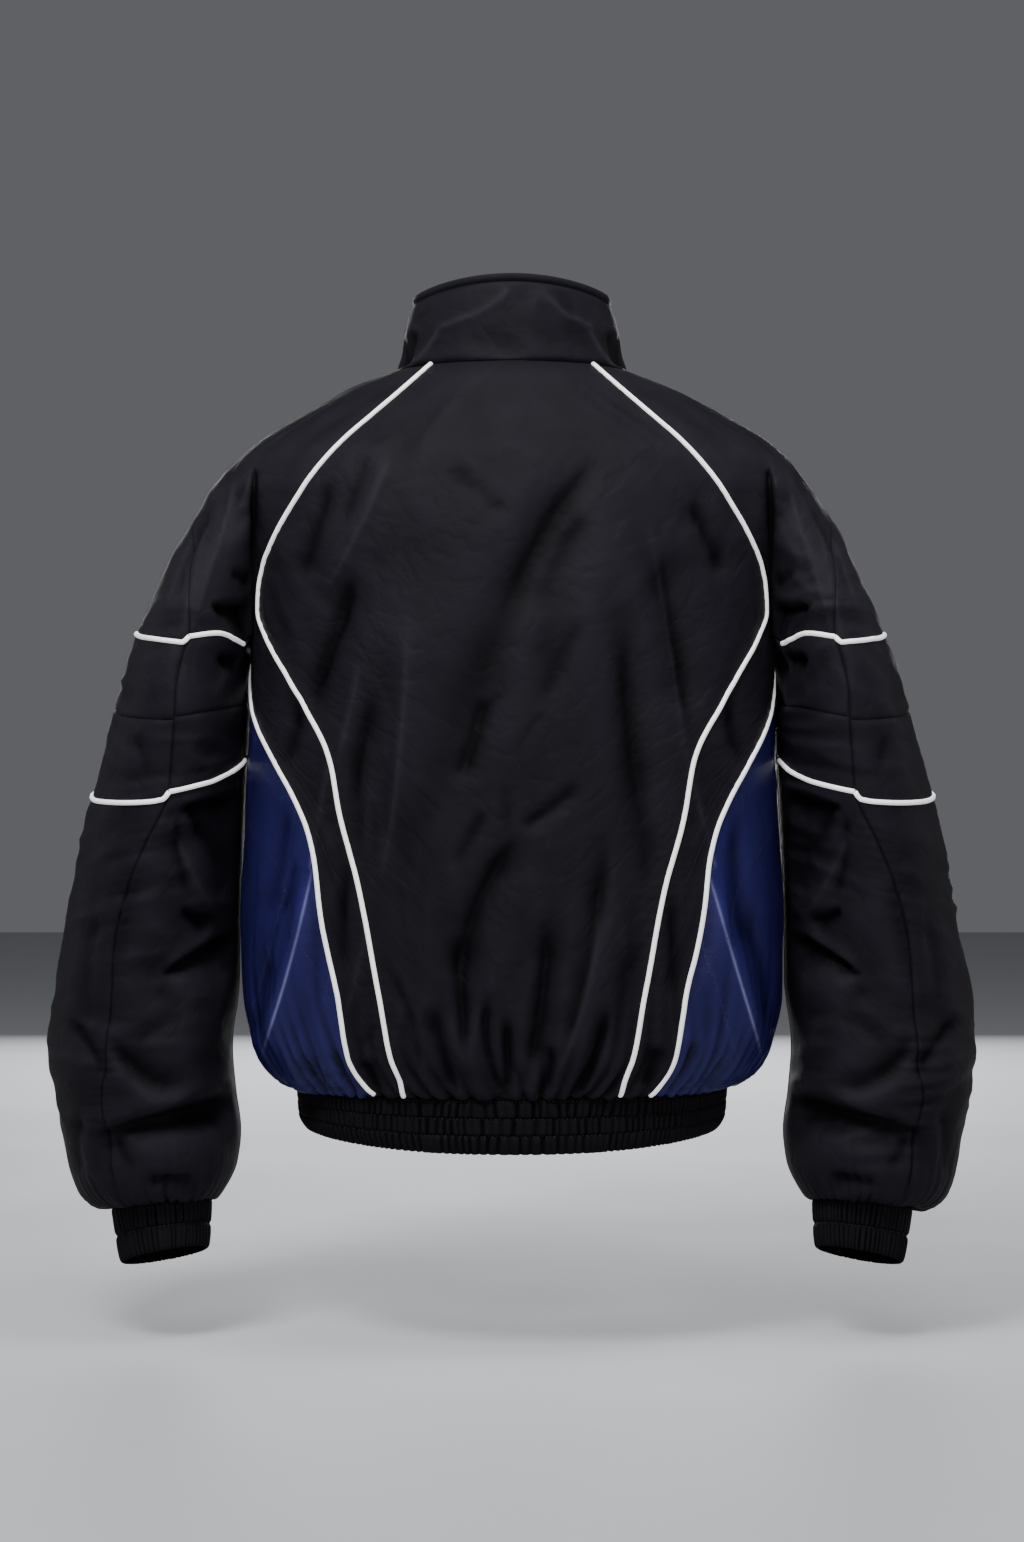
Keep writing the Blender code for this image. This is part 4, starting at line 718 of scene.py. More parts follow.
def body_relief(along, turn, side, point, normal):
    """Height of the body's cloth over its plain form."""
    height = fold_height(BODY_FOLDS, face_of(point), point[..., 0], point[..., 2]) * facing(normal)
    arc = np.radians(turn) * BODY_RADIUS * side
    height = height + wrinkles(arc + 1.0, along, 3) * ease(along / 0.05)
    raglan = np.radians(turn - raglan_turn(along)) * SEAM_RADIUS
    flank = np.radians(turn - side_turn(along)) * SEAM_RADIUS
    seam = np.where(along > ARMPIT, np.minimum(np.abs(raglan), np.abs(flank)), np.abs(raglan))
    height = height * (CALM + (1 - CALM) * ease(seam / 0.018))
    height = height + hem_gathers(along, arc, 11) * (0.4 + 0.6 * ease(seam / 0.010))
    height = height + puckers(raglan, along, 21 + side, 0.0009, 0.009) * ease((0.57 - along) / 0.05)
    height = height + puckers(flank, along, 31 + side) * ease((along - 0.24) / 0.03)
    sheer = 1 - ease((along - ARMPIT) / 0.03)
    stiff = ease(((180 - turn) * METRES_A_DEGREE - ZIP_GAP) / 0.020)
    free = 1 - sheer * (1 - ease(from_crease(along, turn) / 0.012))
    return height * free * ease(along / 0.006) * stiff


def shoulder_dent(along, close, y):
    """The fold from the shoulder down between the body and the sleeve head; close is how far
    a point is from it."""
    deep = ease((along - 0.084) / 0.008) * (1 - ease((along - 0.130) / 0.045))
    inwards = -np.sign(y) * 0.0060 * deep * np.exp(-(np.abs(close / 0.0055) ** 1.3))
    return points(0 * inwards, inwards, 0 * inwards)


def body(along, turn, side):
    """The body's finished surface: points and outward directions."""
    along, turn = np.broadcast_arrays(np.asarray(along, float), np.asarray(turn, float))
    normal = mirrored(outward(body_at, along, turn, (0, HEM_SEAM)), side)
    point = mirrored(body_at(along, turn), side)
    raised = point + normal * body_relief(along, turn, side, point, normal)[..., None]
    return raised + shoulder_dent(along, from_crease(along, turn), point[..., 1]), normal


def cap_normal(along, station, side):
    """The cap's outward directions, which lean into the sleeve's at the armpit."""
    own = outward(cap_at, along, station, (0, ARMPIT), dv=STATION_STEP)
    ring = outward(cap_at, ARMPIT, station, (0, ARMPIT), dv=STATION_STEP)
    ring = unit(ring + outward(sleeve_at, 0.0, station, (0, SLEEVE_LENGTH), dv=STATION_STEP))
    near = ease((along - ARMPIT + 0.02) / 0.02)[..., None]
    return mirrored(unit(own * (1 - near) + ring * near), side)


def sleeve_height(depth, station, side, point, normal):
    """Height of the sleeve's cloth over its plain form; depth is the length from the neck seam."""
    face, x, z = face_of(point), np.abs(point[..., 0]), point[..., 2]
    low = depth - ARMPIT
    height = fold_height(SLEEVE_FOLDS, face, x, z) * ease((depth - 0.16) / 0.05)
    height = height + fold_height(CAP_FOLDS, face, x, z) * (1 - ease((low - 0.004) / 0.02))
    height = height * facing(normal, 0.05, 0.45)
    arc = station * STATION_ARC
    height = height + 1.45 * wrinkles(depth * 1.2, arc * 0.9 + 3.0, 41 + side)
    up = np.maximum(SLEEVE_LENGTH - low, 0)
    height = height + CUFF_GATHER * folded(arc / 0.0115, up, 0.026, 51 + side)
    height = height * ease(np.minimum(station, 4 - station) / 0.25)
    for seam, seed in ((FIRST_BAND, 61), (SECOND_BAND, 63), (0.004, 65)):
        height = height + puckers(low - seam, arc, seed + side, 0.0005, 0.008)
    gap = (station - between(SLEEVE, "seam", np.clip(low, 0, SLEEVE_LENGTH))) * STATION_ARC
    return height + puckers(gap, depth, 71, 0.0011, 0.008) * ease((low - 0.13) / 0.03)


def cap(along, station, side):
    """The cap's finished surface, up to its crease with the body."""
    along, station = np.broadcast_arrays(np.asarray(along, float), np.asarray(station, float))
    normal = cap_normal(along, station, side)
    point = mirrored(cap_at(along, station), side)
    height = sleeve_height(along, station, side, point, normal)
    close = (np.minimum(station, 4 - station) - CREASE_STATION) * CREASE_ARC
    height = height * ease(close / 0.006) * ease(along / 0.02)
    return point + normal * height[..., None] + shoulder_dent(along, close, point[..., 1]), normal


def sleeve(below, station, side):
    """The sleeve's finished surface under the armpit."""
    below, station = np.broadcast_arrays(np.asarray(below, float), np.asarray(station, float))
    own = outward(sleeve_at, below, station, (0, SLEEVE_LENGTH), dv=STATION_STEP)
    clipped = np.clip(station % 4, CREASE_STATION, 4 - CREASE_STATION)
    ring = cap_normal(np.full(below.shape, ARMPIT), clipped, 1)
    near = (1 - ease(below / 0.02))[..., None] * (clipped == station % 4)[..., None]
    normal = mirrored(unit(own * (1 - near) + ring * near), side)
    point = mirrored(sleeve_at(below, station), side)
    height = sleeve_height(ARMPIT + below, station % 4, side, point, normal)
    close = (np.minimum(station % 4, 4 - station % 4) - CREASE_STATION) * CREASE_ARC
    under = (1 - ease(below / 0.03)) * (1 - ease(close / 0.010))
    return point + normal * (height * (1 - under))[..., None], normal


def arm(depth, station, side):
    """The finished surface of the cap and, past the armpit, of the sleeve."""
    depth, station = np.broadcast_arrays(np.asarray(depth, float), np.asarray(station, float))
    clipped = np.clip(station, CREASE_STATION, 4 - CREASE_STATION)
    upper = cap(np.minimum(depth, ARMPIT), clipped, side)
    lower = sleeve(np.maximum(depth - ARMPIT, 0), station, side)
    return tuple(np.where((depth < ARMPIT)[..., None], one, two) for one, two in zip(upper, lower))


def collar(up, turn, side):
    """The collar's finished surface."""
    up, turn = np.broadcast_arrays(np.asarray(up, float), np.asarray(turn, float))
    normal = -mirrored(outward(collar_at, up, turn, (0, COLLAR_TOP), du=0.001), side)
    point = mirrored(collar_at(up, turn), side)
    height = fold_height(COLLAR_FOLDS, face_of(point), point[..., 0], point[..., 2])
    arc = np.radians(turn) * COLLAR_RADIUS * side
    height = height + wrinkles(arc + 2.0, up * 1.3, 81) * ease((COLLAR_EDGE - up) / 0.01)
    return point + normal * (height * ease(up / 0.004))[..., None], normal


# ---------------------------------------------------------------- seam lines


def raglan_turn(along):
    """The turn of the raglan seam on the back, which goes on down to the hem."""
    return turn_of(along, between(SEAM_LINES, "raglan", along))


def side_turn(along):
    """The turn of the seam between the side strip and the side panel."""
    return between(SEAM_LINES, "side", along)


def front_turn(along):
    """The turn of the front raglan seam, which ends at the crease, and of the front side seam."""
    low = ease((along - TOUCH) / (ARMPIT - TOUCH))
    x = between(SEAM_LINES, "raglan", np.minimum(along, TOUCH)) * (1 - low)
    upper = 180 - turn_of(along, x + between(YOKE, "crease_x", along) * low)
    lower = 180 - crease_turn(ARMPIT) + between(BODY, "side_seam", along)
    return np.where(along < ARMPIT, upper, lower)


def zip_turn(along, x=ZIP_GAP):
    return 180 - turn_of(along, x)


FIRST_BAND = 0.060  # below the armpit, the dark seam
SECOND_BAND = 0.122  # the lower piping
ARM_SEAMS = {"upper": ARMPIT, "first": ARMPIT + FIRST_BAND, "second": ARMPIT + SECOND_BAND}
CUFF_SEAM = ARMPIT + SLEEVE_LENGTH
SHIFT_REACH = 0.050  # how far from a shifted seam the rows of a panel still bend


def back_seam(depth):
    """The station of the seam down the back of the arm."""
    lower = between(SLEEVE, "seam", np.maximum(depth - ARMPIT, 0))
    return np.where(depth < ARMPIT, between(YOKE, "seam", np.minimum(depth, ARMPIT)), lower)


def shift(seam, half, station):
    """How far down a seam round the arm lies from its plain ring."""
    if seam not in ARM_SEAMS:
        return 0.0
    return between({"inner": INNER_SEAMS, "outer": OUTER_SEAMS}[half], seam, station)


# ---------------------------------------------------------------- cloth

SEAM_STEPS = np.array((0.0007, 0.0015, 0.0027))  # from a sewn edge, where the mesh is finer
STEP_SHARES = np.array((0.03, 0.06, 0.10))  # the most that these take of a narrow row
SEAM_DIP = 0.0011  # how far a sewn edge turns in
SEAM_SPAN = 0.0016  # over which it does
TRIALS = np.linspace(0, 1, 49)  # shares at which the width of a row is measured
SAME = 2e-6  # closer points are one


def places(start, end, pitch=FINE):
    """Even places from start to end, both included, about pitch apart."""
    return np.linspace(start, end, max(int(round(abs(end - start) / pitch)), 3) + 1)


def sewn_rows(start, end, pitch=FINE):
    """Places down a panel, finer at both its ends."""
    steps = np.concatenate(((0,), SEAM_STEPS))
    inner = places(start + steps[-1], end - steps[-1], pitch)[1:-1]
    return np.concatenate((start + steps, inner, end - steps[::-1]))


def shares(width, count, sewn):
    """Places from 0 to 1 across rows, finer at the edges that are sewn."""
    width = width[:, None]
    near = np.minimum(SEAM_STEPS, width * STEP_SHARES) / width
    edge = np.zeros((len(width), 1))
    left = np.hstack((edge, near)) if "l" in sewn else edge
    right = 1 - np.hstack((near[:, ::-1], edge)) if "r" in sewn else 1 - edge
    inner = count + 1 - left.shape[1] - right.shape[1]
    k = np.arange(1, inner + 1) / (inner + 1)
    return np.hstack((left, left[:, -1:] + (right[:, :1] - left[:, -1:]) * k, right))


def laid(place, rows, count, sewn=""):
    """Points and directions of a grid whose columns are even along the cloth."""
    rough = place(rows[:, None], np.broadcast_to(TRIALS, (len(rows), len(TRIALS))))[0]
    run = np.linalg.norm(np.diff(rough, axis=1), axis=-1)
    run = np.hstack((np.zeros((len(rows), 1)), np.cumsum(run, axis=1)))
    width = np.maximum(run[:, -1], 1e-5)
    goals = shares(width, count, sewn) * width[:, None]
    shares_there = [np.interp(goal, way, TRIALS) for goal, way in zip(goals, run)]
    return place(rows[:, None], np.array(shares_there))


def lengths(point, axis):
    """The way along a grid's rows or columns, from its first point."""
    steps = np.linalg.norm(np.diff(point, axis=axis), axis=-1)
    start = np.zeros_like(np.take(steps, [0], axis=axis))
    return np.concatenate((start, np.cumsum(steps, axis=axis)), axis=axis)


def reshape(mesh, change):
    """The mesh, after a function has changed it as a bmesh."""
    shape = bmesh.new()
    shape.from_mesh(mesh)
    change(shape)
    shape.to_mesh(mesh)
    shape.free()
    return mesh


def cell_areas(point):
    one, two = point[1:, 1:] - point[:-1, :-1], point[1:, :-1] - point[:-1, 1:]
    return np.linalg.norm(np.cross(one, two), axis=-1) / 2


def cloth(name, rows, parts, finish, wall=CLOTH, sewn="udlr", left_out=()):
    """A panel of cloth. Its parts lie side by side, each a place function and about how wide it
    is; sewn names its sewn edges (up, down, left, right), and left_out gives the parts that are
    missing between two rows."""
    parts = [(place, max(int(round(width / FINE)), 3)) for place, width in parts]
    ends = ["" for part in parts]
    ends[0] += "l" if "l" in sewn else ""
    ends[-1] += "r" if "r" in sewn else ""
    grids = [laid(place, rows, count, end) for (place, count), end in zip(parts, ends)]
    point, normal = (
        np.concatenate([grids[0][k]] + [grid[k][:, 1:] for grid in grids[1:]], axis=1) for k in (0, 1)
    )
    down, over = lengths(point, 0), lengths(point, 1)
    edges = {"u": down, "d": down[-1:] - down, "l": over, "r": over[:, -1:] - over}
    sink = sum((np.exp(-((edges[edge] / SEAM_SPAN) ** 2)) for edge in sewn), np.zeros(down.shape))
    point = point - normal * (SEAM_DIP * np.minimum(sink, 1))[..., None]
    kept = np.ones((point.shape[0] - 1, point.shape[1] - 1), bool)
    starts = np.cumsum([0] + [count for _, count in parts])
    for part, first, last in left_out:
        gone = (rows[1:] > first) & (rows[:-1] < last)
        kept[gone, starts[part] : starts[part + 1]] = False
    piece = sheet_from(f"{name}_cloth", point, normal, finish, kept)
    if wall:
        thicken(piece, wall)
    declare(point)
    return place_for(piece, name)


def sheet_from(name, point, normal, finish, kept=None, closed=False):
    """A grid of cells laid on the given points, with a chart of it in metres for the weave. kept
    says which cells are there, and closed joins its first and last columns."""
    rows, columns = point.shape[:2]

    def cells(shape):
        bmesh.ops.create_grid(shape, x_segments=columns - 1, y_segments=rows - 1, size=0.5)
        missing = []
        if kept is not None and not kept.all():
            for face in shape.faces:
                x, y, _ = face.calc_center_median()
                if not kept[int((0.5 - y) * (rows - 1)), int((x + 0.5) * (columns - 1))]:
                    missing.append(face)
        bmesh.ops.delete(shape, geom=missing, context="FACES")

    mesh = reshape(bpy.data.meshes.new(name), cells)
    grid = np.empty(len(mesh.vertices) * 3)
    mesh.vertices.foreach_get("co", grid)
    grid = grid.reshape(-1, 3)
    c = np.round((grid[:, 0] + 0.5) * (columns - 1)).astype(int)
    r = np.round((0.5 - grid[:, 1]) * (rows - 1)).astype(int)
    mesh.vertices.foreach_set("co", point[r, c].ravel())
    over, down = lengths(point, 1), lengths(point, 0)
    chart = np.stack((over - over[:, -1:] / 2, down), axis=-1)[r, c]
    corners = np.empty(len(mesh.loops), dtype=np.int32)
    mesh.loops.foreach_get("vertex_index", corners)
    mesh.uv_layers.new(name="weave").uv.foreach_set("vector", chart[corners].ravel())
    # masks for the painted light: a highlight line along each pressed ridge, painted shade in hollows
    # and painted highlight on folds
    told = (*ridge_highlight_mask(point), relief_of(point, normal))
    for kind, values in zip(("crest_gap", "crest", "relief"), told):
        mesh.attributes.new(kind, "FLOAT", "POINT").data.foreach_set("value", values[r, c])
    mesh.update()
    facing_now = np.empty(len(mesh.vertices) * 3)
    mesh.vertices.foreach_get("normal", facing_now)
    if np.sum(facing_now.reshape(-1, 3) * normal[r, c]) < 0:
        mesh.flip_normals()
    if closed:
        reshape(mesh, lambda shape: bmesh.ops.remove_doubles(shape, verts=shape.verts, dist=SAME))
    mesh.shade_smooth()
    return add(name, mesh, finish)


def thicken(piece, wall):
    modifier = piece.modifiers.new("wall", "SOLIDIFY")
    modifier.thickness = wall
    modifier.offset = -1


def declare(point):
    """Works out the cut of a piece of cloth, how wide and long it is and its area, and keeps none of
    it.
    """
    areas = cell_areas(point)
    width, length = float(lengths(point, 1).max()), float(lengths(point, 0).max())


def in_scene(name, data, finish=None):
    piece = bpy.data.objects.new(name, data)
    if finish:
        data.materials.append(finish)
    bpy.context.scene.collection.objects.link(piece)
    return piece


def add(name, mesh, finish):
    piece = in_scene(name, mesh, finish)
    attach(piece, "jacket")
    return piece


def place_for(piece, node):
    """The piece stands for a solid, which it hides."""
    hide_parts(node)
    return piece


# ---------------------------------------------------------------- finishes


class Value:
    """A number that changes over a surface. Python's operators on it add Math nodes."""

    def __init__(self, tree, socket):
        self.tree, self.socket = tree, socket

    def joined(self, operation, first, second=0.0):
        node = self.tree.nodes.new("ShaderNodeMath")
        node.operation = operation
        for entry, value in zip(node.inputs, (first, second)):
            if isinstance(value, Value):
                self.tree.links.new(value.socket, entry)
            else:
                entry.default_value = value
        return Value(self.tree, node.outputs[0])

    def __add__(self, other):
        return self.joined("ADD", self, other)

    __radd__ = __add__

    def __sub__(self, other):
        return self.joined("SUBTRACT", self, other)

    def __rsub__(self, other):
        return self.joined("SUBTRACT", other, self)

    def __mul__(self, other):
        return self.joined("MULTIPLY", self, other)

    __rmul__ = __mul__

    def sine(self):
        return self.joined("SINE", self)

    def absolute(self):
        return self.joined("ABSOLUTE", self)

    def least(self, other):
        return self.joined("MINIMUM", self, other)

    def most(self, other):
        return self.joined("MAXIMUM", self, other)


class Finish:
    """A Principled material and the nodes that vary it."""

    def __init__(self, name, colour, roughness, **constants):
        self.material = bpy.data.materials.new(name)
        self.material.use_nodes = True
        self.tree = self.material.node_tree
        self.shader = self.tree.nodes["Principled BSDF"]
        self.set(Base_Color=(*colour, 1), Roughness=roughness, **constants)

    def set(self, **values):
        """Sets the shader's own sockets; an underscore stands for a space."""
        for name, value in values.items():
            self.enter(self.shader.inputs[name.replace("_", " ")], value)

    def enter(self, entry, value):
        if isinstance(value, Value):
            self.tree.links.new(value.socket, entry)
        else:
            entry.default_value = value

    def add(self, kind, settings=None, inputs=None, output=0):
        """Any other node: its settings first, then the values or links of its sockets."""
        node = self.tree.nodes.new(f"ShaderNode{kind}")
        for name, value in (settings or {}).items():
            setattr(node, name, value)
        for name, value in (inputs or {}).items():
            self.enter(node.inputs[name], value)
        return Value(self.tree, node.outputs[output])

    def chart(self):
        """The cloth's own chart, in metres: across it and down it."""
        return self.add("UVMap", {"uv_map": "weave"})

    def noise(self, vector, scale, detail=2.0, rough=0.5):
        inputs = {"Vector": vector, "Scale": scale, "Detail": detail, "Roughness": rough}
        return self.add("TexNoise", None, inputs)

    def told(self, name):
        """What the mesh says of each of its points."""
        return self.add("Attribute", {"attribute_name": name}, None, 2)

    def blend(self, share, first, second):
        """A colour between two, by a share that changes over the surface."""
        node = self.tree.nodes.new("ShaderNodeMix")
        node.data_type = "RGBA"
        self.enter(node.inputs[0], share)
        for k, colour in ((6, first), (7, second)):
            self.enter(node.inputs[k], colour if isinstance(colour, Value) else (*colour, 1))
        return Value(self.tree, node.outputs[2])

    def bump(self, height, depth):
        """Raises the surface by a height from 0 to 1 that stands for a depth in metres."""
        inputs = {"Height": height, "Distance": depth, "Strength": 1.0}
        self.set(Normal=self.add("Bump", None, inputs))


def woven(
    name, light, dark, roughness, highlight_colour=None, line=0.003, thread=0.0007, crinkle=1.0, shade=0.74, **own
):
    """Fine cloth: a plain weave, a soft crinkle with fine creases, and an uneven tone between
    light and dark. shade is how strongly painted shade darkens the hollows and painted highlight
    lightens the folds, and the colour given for the ridges is that of a painted highlight line,
    line wide, along each pressed ridge."""
    finish = Finish(name, dark, roughness, **own)
    chart = finish.chart()
    across = finish.add("SeparateXYZ", None, {0: chart}, 0)
    down = finish.add("SeparateXYZ", None, {0: chart}, 1)
    turns = 2 * math.pi / thread
    weave = (across * turns).sine() * (down * turns).sine()
    soft = finish.noise(chart, 42.0, 5.0, 0.62)
    crease = ((finish.noise(chart, 24.0, 3.0) - 0.5).absolute() * 11.0).least(1.0)
    fine = finish.noise(chart, 420.0, 2.0)
    tone = finish.noise(chart, 16.0, 6.0, 0.66)
    colour = finish.blend(tone * 0.7 + fine * 0.3, dark, light)
    patchy = finish.noise(chart, 30.0, 5.0, 0.6)
    # painted shading: the hollows of the cloth, broken up by noise, darken its colour and its folds
    # lighten it
    relief = (finish.told("relief") + (patchy - 0.5) * 0.9) * shade
    # painted highlight: the folds lighten towards 1.8 times the light tone
    colour = finish.blend(relief.most(0.0) * 0.5, colour, tuple(1.8 * part for part in light))
    # painted shade: the hollows darken towards 0.22 times the dark tone
    colour = finish.blend((0.0 - relief).most(0.0), colour, tuple(0.22 * part for part in dark))
    # painted highlight: a pale line, line wide, along each pressed ridge, stronger where the tone is
    # light
    if highlight_colour:
        crest = 1.0 - (finish.told("crest_gap").absolute() * (1 / line)).least(1.0)
        strength = crest * crest * finish.told("crest")
        colour = finish.blend(strength * (tone * 1.4 - 0.1).most(0.0), colour, highlight_colour)
    finish.set(Base_Color=colour)
    finish.set(Roughness=fine * 0.10 + tone * 0.10 + (roughness - 0.10))
    crinkled = soft * (0.34 * crinkle) + crease * (0.13 * crinkle)
    finish.bump(crinkled + fine * 0.04 + weave * 0.020, 0.0016)
    return finish.material


# the colour given for the ridges of a cloth is the colour of its painted highlight lines
BLACK = woven(
    "black_nylon", (0.0103, 0.0090, 0.0127), (0.0045, 0.0041, 0.0059), 0.48,
    highlight_colour=(0.021, 0.0195, 0.025), line=0.005, crinkle=1.7, Specular_IOR_Level=0.035,
)
NAVY = woven(
    "navy_satin", (0.0125, 0.0118, 0.0680), (0.0062, 0.0060, 0.0380), 0.34,
    highlight_colour=(0.20, 0.21, 0.42), line=0.0024, crinkle=1.2, Specular_IOR_Level=0.15,
)
KNIT = woven(
    "black_elastic", (0.0060, 0.0056, 0.0070), (0.0026, 0.0024, 0.0031), 0.62,
    thread=0.0010, Specular_IOR_Level=0.025,
)
# The piping's emission is a painted glow that makes it brighter than the lamps alone light it.
WHITE = woven(
    "white_piping", (0.98, 0.98, 0.99), (0.96, 0.96, 0.97), 0.46,
    thread=0.0009, crinkle=0.2, shade=0.0, Emission_Color=(1, 1, 1, 1), Emission_Strength=0.28,
)
TAPE = woven(
    "zip_tape", (0.014, 0.014, 0.016), (0.009, 0.009, 0.010), 0.72,
    thread=0.0014, crinkle=0.2, shade=0.0,
)


def plain(name, colour, roughness, grain, depth, **constants):
    """A moulded or cast finish, with a fine grain."""
    finish = Finish(name, colour, roughness, **constants)
    place = finish.add("TexCoord", None, None, 3)
    fine = finish.noise(place, grain, 3.0)
    broad = finish.noise(place, grain / 12, 2.0)
    finish.set(Roughness=broad * 0.16 + (roughness - 0.08))
    finish.bump(fine, depth)
    return finish.material


PLASTIC = plain("black_plastic", (0.014, 0.014, 0.016), 0.35, 2600.0, 0.00003)
METAL = plain("dark_metal", (0.06, 0.06, 0.065), 0.34, 1800.0, 0.00004, Metallic=1.0)
THREAD = plain("black_thread", (0.016, 0.016, 0.018), 0.6, 3000.0, 0.00004)

# ---------------------------------------------------------------- panels


def two_sided(place, u, turn):
    """A surface over the middle of the garment; turn is negative on the left."""
    left, right = place(u, np.abs(turn), -1), place(u, np.abs(turn), 1)
    pick = (turn < 0)[..., None]
    return tuple(np.where(pick, one, two) for one, two in zip(left, right))


def across_body(start, end, side):
    """A place function between two seams of the body, which are turns that depend on along."""
    return lambda along, t: body(along, start(along) + (end(along) - start(along)) * t, side)


def sew_back():
    rows = sewn_rows(0, HEM_SEAM)

    def place(along, t):
        return two_sided(body, along + 0 * t, raglan_turn(along) * (2 * t - 1))

    cloth("back_panel", rows, [(place, 0.34)], BLACK)


def sew_side_strip(name, side):
    """From the point where the raglan seam meets the sleeve, under the arm and down to the hem."""
    rows = np.concatenate((places(TOUCH, ARMPIT), places(ARMPIT, HEM_SEAM)[1:]))

    def middle(along):
        low = ease((along - ARMPIT) / 0.08)
        start, end = raglan_turn(along), side_turn(along)
        crease = crease_turn(np.minimum(along, ARMPIT))
        return crease + (start + (end - start) * 0.5 - crease) * low

    def last(along):
        return np.where(along < ARMPIT - 1e-6, crease_turn(along), side_turn(along))

    near = (across_body(raglan_turn, middle, side), 0.036)
    far = (across_body(middle, last, side), 0.036)
    cloth(f"side_strip_{name}", rows, [near, far], BLACK, left_out=[(1, 0, ARMPIT - 1e-6)])


def sew_side_panel(name, side):
    rows = sewn_rows(ARMPIT, HEM_SEAM)
    place = across_body(side_turn, front_turn, side)
    cloth(f"side_panel_{name}", rows, [(place, 0.24)], NAVY)


def sew_front(name, side):
    place = across_body(front_turn, zip_turn, side)
    cloth(f"front_{name}", sewn_rows(0, HEM_SEAM), [(place, 0.20)], BLACK)


def arm_half(half, top, bottom, side, first=0.0, last=3.9999):
    """A place function of the arm inside or outside the back seam. Its rows run between two
    depths, and follow the shifted seam top or bottom where they come to it."""
    start, end = ARM_SEAMS.get(top, 0.0), ARM_SEAMS.get(bottom, CUFF_SEAM)

    def stations(depth, t):
        seam = back_seam(depth)
        return first + (seam - first) * t if half == "inner" else seam + (last - seam) * t

    def place(row, t):
        rough, fall = stations(row, t), 0
        for seam, way in ((top, row - start), (bottom, end - row)):
            close = np.minimum(rough, 4 - rough) - CREASE_STATION
            apart = ease(close / 0.06) if seam == "upper" else 1
            fall = fall + np.clip(1 - way / SHIFT_REACH, 0, 1) * shift(seam, half, rough) * apart
        return arm(row + fall, stations(row + fall, t), side)

    return place


def sew_cap_back(name, side):
    """The back half of a raglan cap: a part on the body, then, past the crease, the sleeve's."""
    rows = np.concatenate((places(0, TOUCH), places(TOUCH, ARMPIT)[1:]))

    def start(along):
        return np.where(along > TOUCH + 1e-6, crease_turn(along), raglan_turn(along))

    far = arm_half("inner", None, "upper", side, first=CREASE_STATION)
    parts = [(across_body(start, crease_turn, side), 0.060), (far, 0.13)]
    cloth(f"cap_back_{name}", rows, parts, BLACK, left_out=[(0, TOUCH, 1)])


def sew_cap_front(name, side):
    def crease(along):
        return 180 - crease_turn(along)

    near = arm_half("outer", None, "upper", side, last=4 - CREASE_STATION)
    parts = [(near, 0.17), (across_body(crease, front_turn, side), 0.050)]
    cloth(f"cap_front_{name}", places(0, ARMPIT), parts, BLACK)


def sew_sleeve(name, side):
    seams = ("upper", "first", "second", None)
    for part, top, bottom in zip(("upper_band", "lower_band", "sleeve"), seams, seams[1:]):
        rows = sewn_rows(ARM_SEAMS[top], ARM_SEAMS.get(bottom, CUFF_SEAM))
        for half, width in (("inner", 0.14), ("outer", 0.38)):
            place = arm_half(half, top, bottom, side)
            cloth(f"{part}_{half}_{name}", rows, [(place, width)], BLACK)


# ---------------------------------------------------------------- collar

EDGE_ROLL = 0.0010  # how much the turned edge stands proud
EDGE_HALF = 0.0014  # half the thickness of the turned edge
COLLAR_LENGTH = 0.56


def collar_start():
    """The turn by which the collar's front edges stand back from the middle."""
    return math.degrees(math.asin(ZIP_GAP / COLLAR["width"][0]))


def collar_turn(t):
    start = collar_start()
    return -(180 - start) + (360 - 2 * start) * t


def sew_collar():
    def band(up, t):
        return two_sided(collar, up + 0 * t, collar_turn(t) + 0 * up)

    def rolled(way, t):
        """The turned edge: up the outside, over the top and down the inside."""
        outer_end = COLLAR_TOP - EDGE_HALF
        flat = outer_end - COLLAR_EDGE
        angle = np.clip((way - flat) / (math.pi * EDGE_HALF), 0, 1) * math.pi
        up = np.where(way < flat, COLLAR_EDGE + way, outer_end)
        up = np.where(angle >= math.pi, outer_end - (way - flat - math.pi * EDGE_HALF), up)
        point, normal = band(np.clip(up, COLLAR_EDGE, COLLAR_TOP), t)
        swell = EDGE_ROLL * np.sin(np.clip((up - COLLAR_EDGE) / flat, 0, 1) * math.pi / 2) ** 0.6
        inwards = EDGE_HALF * (1 - np.cos(angle)) * 1.15
        point = point + normal * (swell - inwards)[..., None]
        point[..., 2] += EDGE_HALF * np.sin(angle)
        direction = normal * np.cos(angle)[..., None]
        direction[..., 2] += np.sin(angle)
        return point, direction

    rows = sewn_rows(0, COLLAR_EDGE, 0.0025)
    cloth("collar", rows, [(band, COLLAR_LENGTH)], BLACK, wall=COLLAR_WALL)
    flat = COLLAR_TOP - EDGE_HALF - COLLAR_EDGE
    rows = np.concatenate((places(0, flat, 0.0011), flat + places(0, math.pi * EDGE_HALF, 0.0006)[1:]))
    rows = np.concatenate((rows, rows[-1] + places(0, flat, 0.0022)[1:]))
    cloth("collar_edge", rows, [(rolled, COLLAR_LENGTH)], BLACK, wall=0, sewn="u")


# ---------------------------------------------------------------- gathered bands

